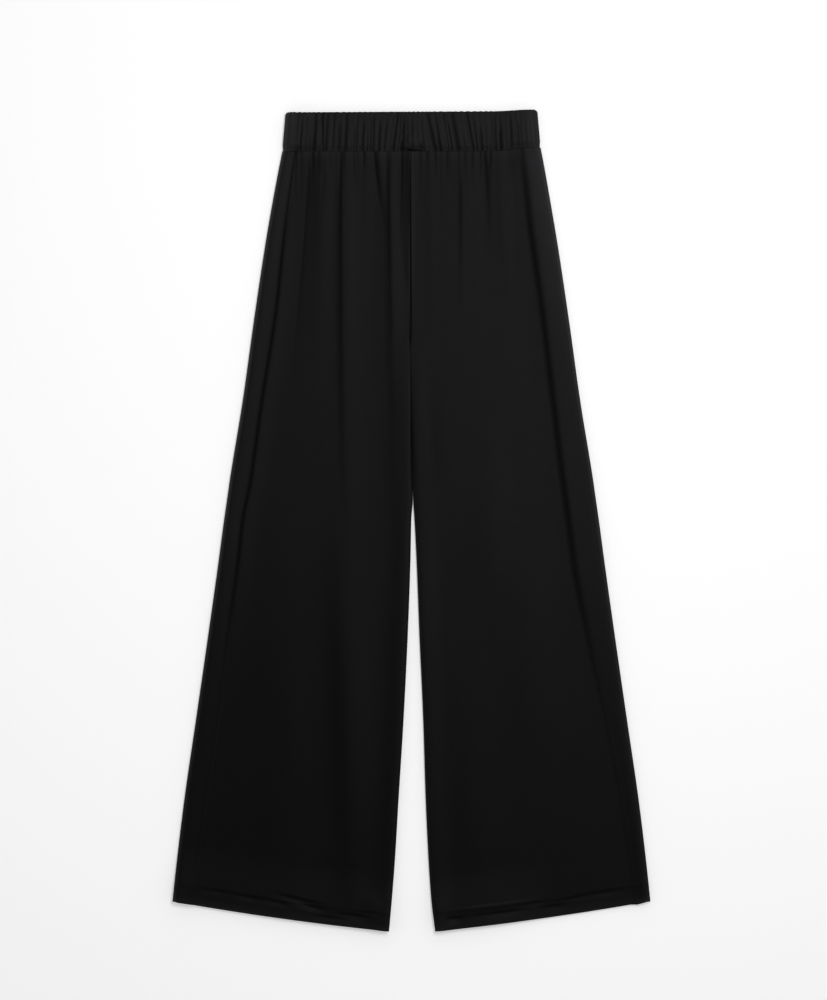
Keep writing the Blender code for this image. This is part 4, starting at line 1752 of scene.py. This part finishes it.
@dataclass(frozen=True)
class ViscoseJersey:
    """Black viscose jersey, single knit and washed soft.

    A deep dye takes nearly all the light, so what shows is the weak, wide gloss of smooth
    fibres: it brightens where the cloth turns to the light. Shade is painted into the colour
    in every crease, and highlights along the folds and edges.
    Wales run down the leg, 0.75 mm apart in the real cloth, finer than a pixel of the
    render, so they are drawn 1.1 mm apart and kept faint. The fuzz of loose fibre ends is
    about 0.7 mm across, and the cloudy patches of the dye about 26 mm.
    """

    name: str
    deep: str = "#020203"
    # The paler colour that the cloth's own paleness and the painted highlights mix towards.
    lighter: str = "#333336"
    # The cloth's own paleness, which painted shade takes away and painted highlight raises.
    brighten: float = 0.067
    mottle: float = 0.04
    wale: float = 1.1
    course: float = 0.85
    bump: float = 0.35
    relief: float = 0.12
    loop_slant: float = 1.2
    wale_share: float = 0.6
    loop_share: float = 0.4
    fuzz_share: float = 0.8
    roughness: float = 0.47
    specular: float = 0.095
    fuzz: ClassVar[dict[str, float]] = {"Scale": 1400.0, "Detail": 2.0, "Roughness": 0.6}
    clouds: ClassVar[dict[str, float]] = {"Scale": 38.0, "Detail": 5.0, "Roughness": 0.62}

    def material(self) -> bpy.types.Material:
        """The knit's relief is a rounded wale plus the slanted legs of its loops.

        Each row of the table is one step: its name, what it does, and the two values or
        earlier steps that it does it to.

        Returns:
            The material.
        """
        material, tree = new_material(self.name)
        place = add_node(tree, "ShaderNodeUVMap", uv_map=UV_LAYER)
        split = add_node(tree, "ShaderNodeSeparateXYZ", {0: place.outputs[0]})
        fuzz, cloud = (
            add_node(tree, "ShaderNodeTexNoise", {"Vector": place.outputs[0], **noise})
            for noise in (self.fuzz, self.clouds)
        )
        # Reads the painted shading: painted shade darkens the colour, painted highlight lightens
        # it.
        depth = add_node(tree, "ShaderNodeAttribute", attribute_name=PAINTED_SHADING_LAYER)
        steps = {
            "across": split.outputs[0],
            "down": split.outputs[1],
            "fuzz": fuzz.outputs[0],
            "cloud": cloud.outputs[0],
            "hollow": depth.outputs["Fac"],
        }
        for name, operation, first, second in (
            ("wales", "MULTIPLY", "across", 1.0 / (self.wale * MM)),
            ("in wale", "FRACT", "wales", 0.0),
            ("off middle", "SUBTRACT", "in wale", 0.5),
            ("from middle", "ABSOLUTE", "off middle", 0.0),
            ("wale turn", "MULTIPLY", "from middle", 2.0 * np.pi),
            ("rounded", "COSINE", "wale turn", 0.0),
            ("courses", "MULTIPLY", "down", 1.0 / (self.course * MM)),
            ("slant", "MULTIPLY", "from middle", self.loop_slant),
            ("slanted", "ADD", "courses", "slant"),
            ("loop turn", "MULTIPLY", "slanted", 2.0 * np.pi),
            ("loops", "SINE", "loop turn", 0.0),
            ("wale height", "MULTIPLY", "rounded", self.wale_share),
            ("loop height", "MULTIPLY", "loops", self.loop_share),
            ("knit", "ADD", "wale height", "loop height"),
            ("fuzz height", "MULTIPLY", "fuzz", self.fuzz_share),
            ("surface", "ADD", "knit", "fuzz height"),
            # Painted shade and painted highlight scale the paleness.
            ("brighten", "SUBTRACT", 1.0, "hollow"),
            ("off mean", "SUBTRACT", "cloud", 0.5),
            ("uneven", "MULTIPLY", "off mean", self.mottle),
            ("dye lost", "ADD", "uneven", self.brighten),
            ("paleness", "MULTIPLY", "dye lost", "brighten"),
        ):
            inputs = {0: steps.get(first, first), 1: steps.get(second, second)}
            steps[name] = add_node(tree, "ShaderNodeMath", inputs, operation=operation).outputs[0]
        bump = add_node(
            tree,
            "ShaderNodeBump",
            {"Strength": self.bump, "Distance": self.relief * MM, "Height": steps["surface"]},
        )
        colour = add_node(
            tree,
            "ShaderNodeMix",
            {
                "Factor": steps["paleness"],
                "A": linear_rgb(self.deep),
                "B": linear_rgb(self.lighter),
            },
            data_type="RGBA",
        )
        shader = add_node(
            tree,
            "ShaderNodeBsdfPrincipled",
            {
                "Base Color": colour.outputs["Result"],
                "Roughness": self.roughness,
                "Specular IOR Level": self.specular,
                "Normal": bump.outputs[0],
            },
        )
        add_node(tree, "ShaderNodeOutputMaterial", {0: shader.outputs[0]})
        return material


@dataclass(frozen=True)
class PolyesterThread:
    """Black polyester sewing thread, spun and waxed: a little smoother than the cloth."""

    name: str = "black_sewing_thread"
    colour: str = "#09090a"
    roughness: float = 0.5
    specular: float = 0.12
    twist: float = 2.205
    bump: float = 0.3
    relief: float = 0.05

    def material(self) -> bpy.types.Material:
        """A twist of plies as slanting ridges, 1.4 mm apart along the thread.

        The wave texture's slanting bands turn 10 / 2 pi times in each unit of its scale.

        Returns:
            The material.
        """
        material, tree = new_material(self.name)
        place = add_node(tree, "ShaderNodeTexCoord")
        twist = add_node(
            tree,
            "ShaderNodeTexWave",
            {"Vector": place.outputs["Object"], "Scale": 1.0 / (self.twist * MM)},
            bands_direction="DIAGONAL",
        )
        bump = add_node(
            tree,
            "ShaderNodeBump",
            {"Strength": self.bump, "Distance": self.relief * MM, "Height": twist.outputs[1]},
        )
        shader = add_node(
            tree,
            "ShaderNodeBsdfPrincipled",
            {
                "Base Color": linear_rgb(self.colour),
                "Roughness": self.roughness,
                "Specular IOR Level": self.specular,
                "Normal": bump.outputs[0],
            },
        )
        add_node(tree, "ShaderNodeOutputMaterial", {0: shader.outputs[0]})
        return material


@dataclass(frozen=True)
class OpalFloor:
    """Opal acrylic, cast and lit faintly from below, as flat garments are photographed on.

    It gives the eye an even white in which shadows stay pale.
    """

    name: str = "white_opal_acrylic"
    colour: str = "#f4f4f4"
    glow: float = 0.37
    roughness: float = 0.9
    specular: float = 0.1

    def material(self) -> bpy.types.Material:
        """Flat white with its own faint light.

        Returns:
            The material.
        """
        material, tree = new_material(self.name)
        shader = add_node(
            tree,
            "ShaderNodeBsdfPrincipled",
            {
                "Base Color": linear_rgb(self.colour),
                "Roughness": self.roughness,
                "Specular IOR Level": self.specular,
                "Emission Color": (1.0, 1.0, 1.0, 1.0),
                "Emission Strength": self.glow,
            },
        )
        add_node(tree, "ShaderNodeOutputMaterial", {0: shader.outputs[0]})
        return material


# Assembly


@dataclass
class Trousers:
    """The whole garment: two fronts, two backs, two casings and the hems' stitching."""

    cut: Cut = field(default_factory=Cut)
    gathers: Gathers = field(default_factory=Gathers)

    def build(self) -> list[bpy.types.Object]:
        """Makes, dresses and attaches every piece, and hides the CAD parts that panels and casings
        replace.

        Returns:
            Every piece, in the order in which they are made.
        """
        jersey = ViscoseJersey("black_viscose_jersey").material()
        # A copy with a paler colour paints the brighter light that the waistband gets, near the
        # key.
        casing = ViscoseJersey(
            "black_viscose_jersey_casing", lighter="#434346", specular=0.115
        ).material()
        thread = PolyesterThread().material()
        relief = FrontRelief(self.gathers)
        pieces = []
        for side in Side:
            for panel in (FrontPanel(self.cut, side, relief), BackPanel(self.cut, side)):
                pieces += self.panel(panel, jersey, thread)
        band_relief = BandRelief(self.gathers)
        for band, name in (
            (FrontBand(self.cut, band_relief), "waistband_front"),
            (BackBand(self.cut, band_relief), "waistband_back"),
        ):
            piece = dress(band.mesh(f"{name}_casing"), casing)
            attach(piece, BODY)
            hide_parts(name)
            pieces.append(piece)
        return pieces

    def panel(
        self, panel: Panel, jersey: bpy.types.Material, thread: bpy.types.Material
    ) -> list[bpy.types.Object]:
        """Makes a leg panel and its hem's stitching.

        Args:
            panel: the panel's shape.
            jersey: its cloth.
            thread: its stitching.

        Returns:
            The panel and its stitching.
        """
        node = panel.node
        cloth = dress(panel.mesh(f"{node}_panel"), jersey)
        rows = dress(HemStitching(self.cut).mesh(f"{node}_hem_stitches", panel), thread)
        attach(cloth, BODY)
        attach(rows, BODY)
        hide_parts(node)
        return [cloth, rows]


@dataclass
class Studio:
    """The pale floor, the soft lights and the camera straight over the garment."""

    floor_half: float = 12.0
    camera_height: float = 6.0
    centre: tuple[float, float] = (0.0024, 0.025)
    frame_height: float = 1.2
    sensor: float = 36.0
    horizon: float = 0.78
    overhead: float = 0.08
    sky_turn: tuple[float, float] = (0.35, 0.85)
    key_place: tuple[float, float, float] = (0.5, 0.55, 2.0)
    key_aim: tuple[float, float, float] = (-0.4, 0.6, 0.0)
    key_size: tuple[float, float] = (0.95, 0.42)
    key_power: float = 18.2

    def floor(self) -> bpy.types.Object:
        """A flat square of floor at the height that the garment lies on.

        Returns:
            The floor.
        """
        half = self.floor_half
        corners = [(-half, -half, 0), (half, -half, 0), (half, half, 0), (-half, half, 0)]
        mesh = bpy.data.meshes.new("floor")
        mesh.from_pydata(corners, [], [(0, 1, 2, 3)])
        piece = dress(mesh, OpalFloor().material())
        return piece

    def softbox(
        self,
        name: str,
        place: tuple[float, float, float],
        aim: tuple[float, float, float],
        size: tuple[float, float],
        power: float,
    ) -> None:
        """Hangs a rectangular soft light that looks at a point.

        Args:
            name: the light's name.
            place: where it hangs, in metres.
            aim: the point that it looks at.
            size: its level side and its other side.
            power: its power in watts.
        """
        light = bpy.data.lights.new(name, "AREA")
        light.energy, light.shape = power, "RECTANGLE"
        light.size, light.size_y = size
        lamp = bpy.data.objects.new(name, light)
        away = unit(np.subtract(place, aim))
        lamp.location = place
        lamp.rotation_euler = (np.arccos(away[2]), 0.0, np.arctan2(away[1], away[0]) + np.pi / 2)
        lamp.visible_camera = False
        bpy.context.scene.collection.objects.link(lamp)

    def lights(self) -> None:
        """A soft key beyond the waist, on the wearer's left, in a room with pale walls.

        The room's light runs from the walls' to the ceiling's as an S curve of the height
        that a direction points to.
        """
        self.softbox("key", self.key_place, self.key_aim, self.key_size, self.key_power)
        world = bpy.data.worlds.new("studio")
        world.use_nodes = True
        tree = world.node_tree
        tree.nodes.clear()
        way = add_node(tree, "ShaderNodeTexCoord")
        split = add_node(tree, "ShaderNodeSeparateXYZ", {0: way.outputs["Generated"]})
        light = add_node(
            tree,
            "ShaderNodeMapRange",
            {
                "Value": split.outputs[2],
                "From Min": self.sky_turn[0],
                "From Max": self.sky_turn[1],
                "To Min": self.horizon,
                "To Max": self.overhead,
            },
            interpolation_type="SMOOTHSTEP",
        )
        sky = add_node(tree, "ShaderNodeBackground", {0: (1.0, 1.0, 1.0, 1.0), 1: light.outputs[0]})
        add_node(tree, "ShaderNodeOutputWorld", {0: sky.outputs[0]})
        bpy.context.scene.world = world
        bpy.context.scene.view_settings.view_transform = "Standard"

    def camera(self) -> None:
        """A long lens straight down, with the waist at the top of the picture."""
        data = bpy.data.cameras.new("camera")
        data.sensor_width = self.sensor
        data.lens = self.sensor * self.camera_height / self.frame_height
        data.clip_end = 100.0
        camera = bpy.data.objects.new("camera", data)
        camera.location = (*self.centre, self.camera_height)
        bpy.context.scene.collection.objects.link(camera)
        bpy.context.scene.camera = camera


def main() -> None:
    """Builds the studio and the garment, and reports each piece."""
    logging.basicConfig(level=logging.INFO, format="%(name)s: %(message)s")
    studio = Studio()
    studio.camera()
    studio.floor()
    for piece in Trousers().build():
        LOG.info("%s: %d faces", piece.name, len(piece.data.polygons))
    studio.lights()


if __name__ == "__main__":
    main()
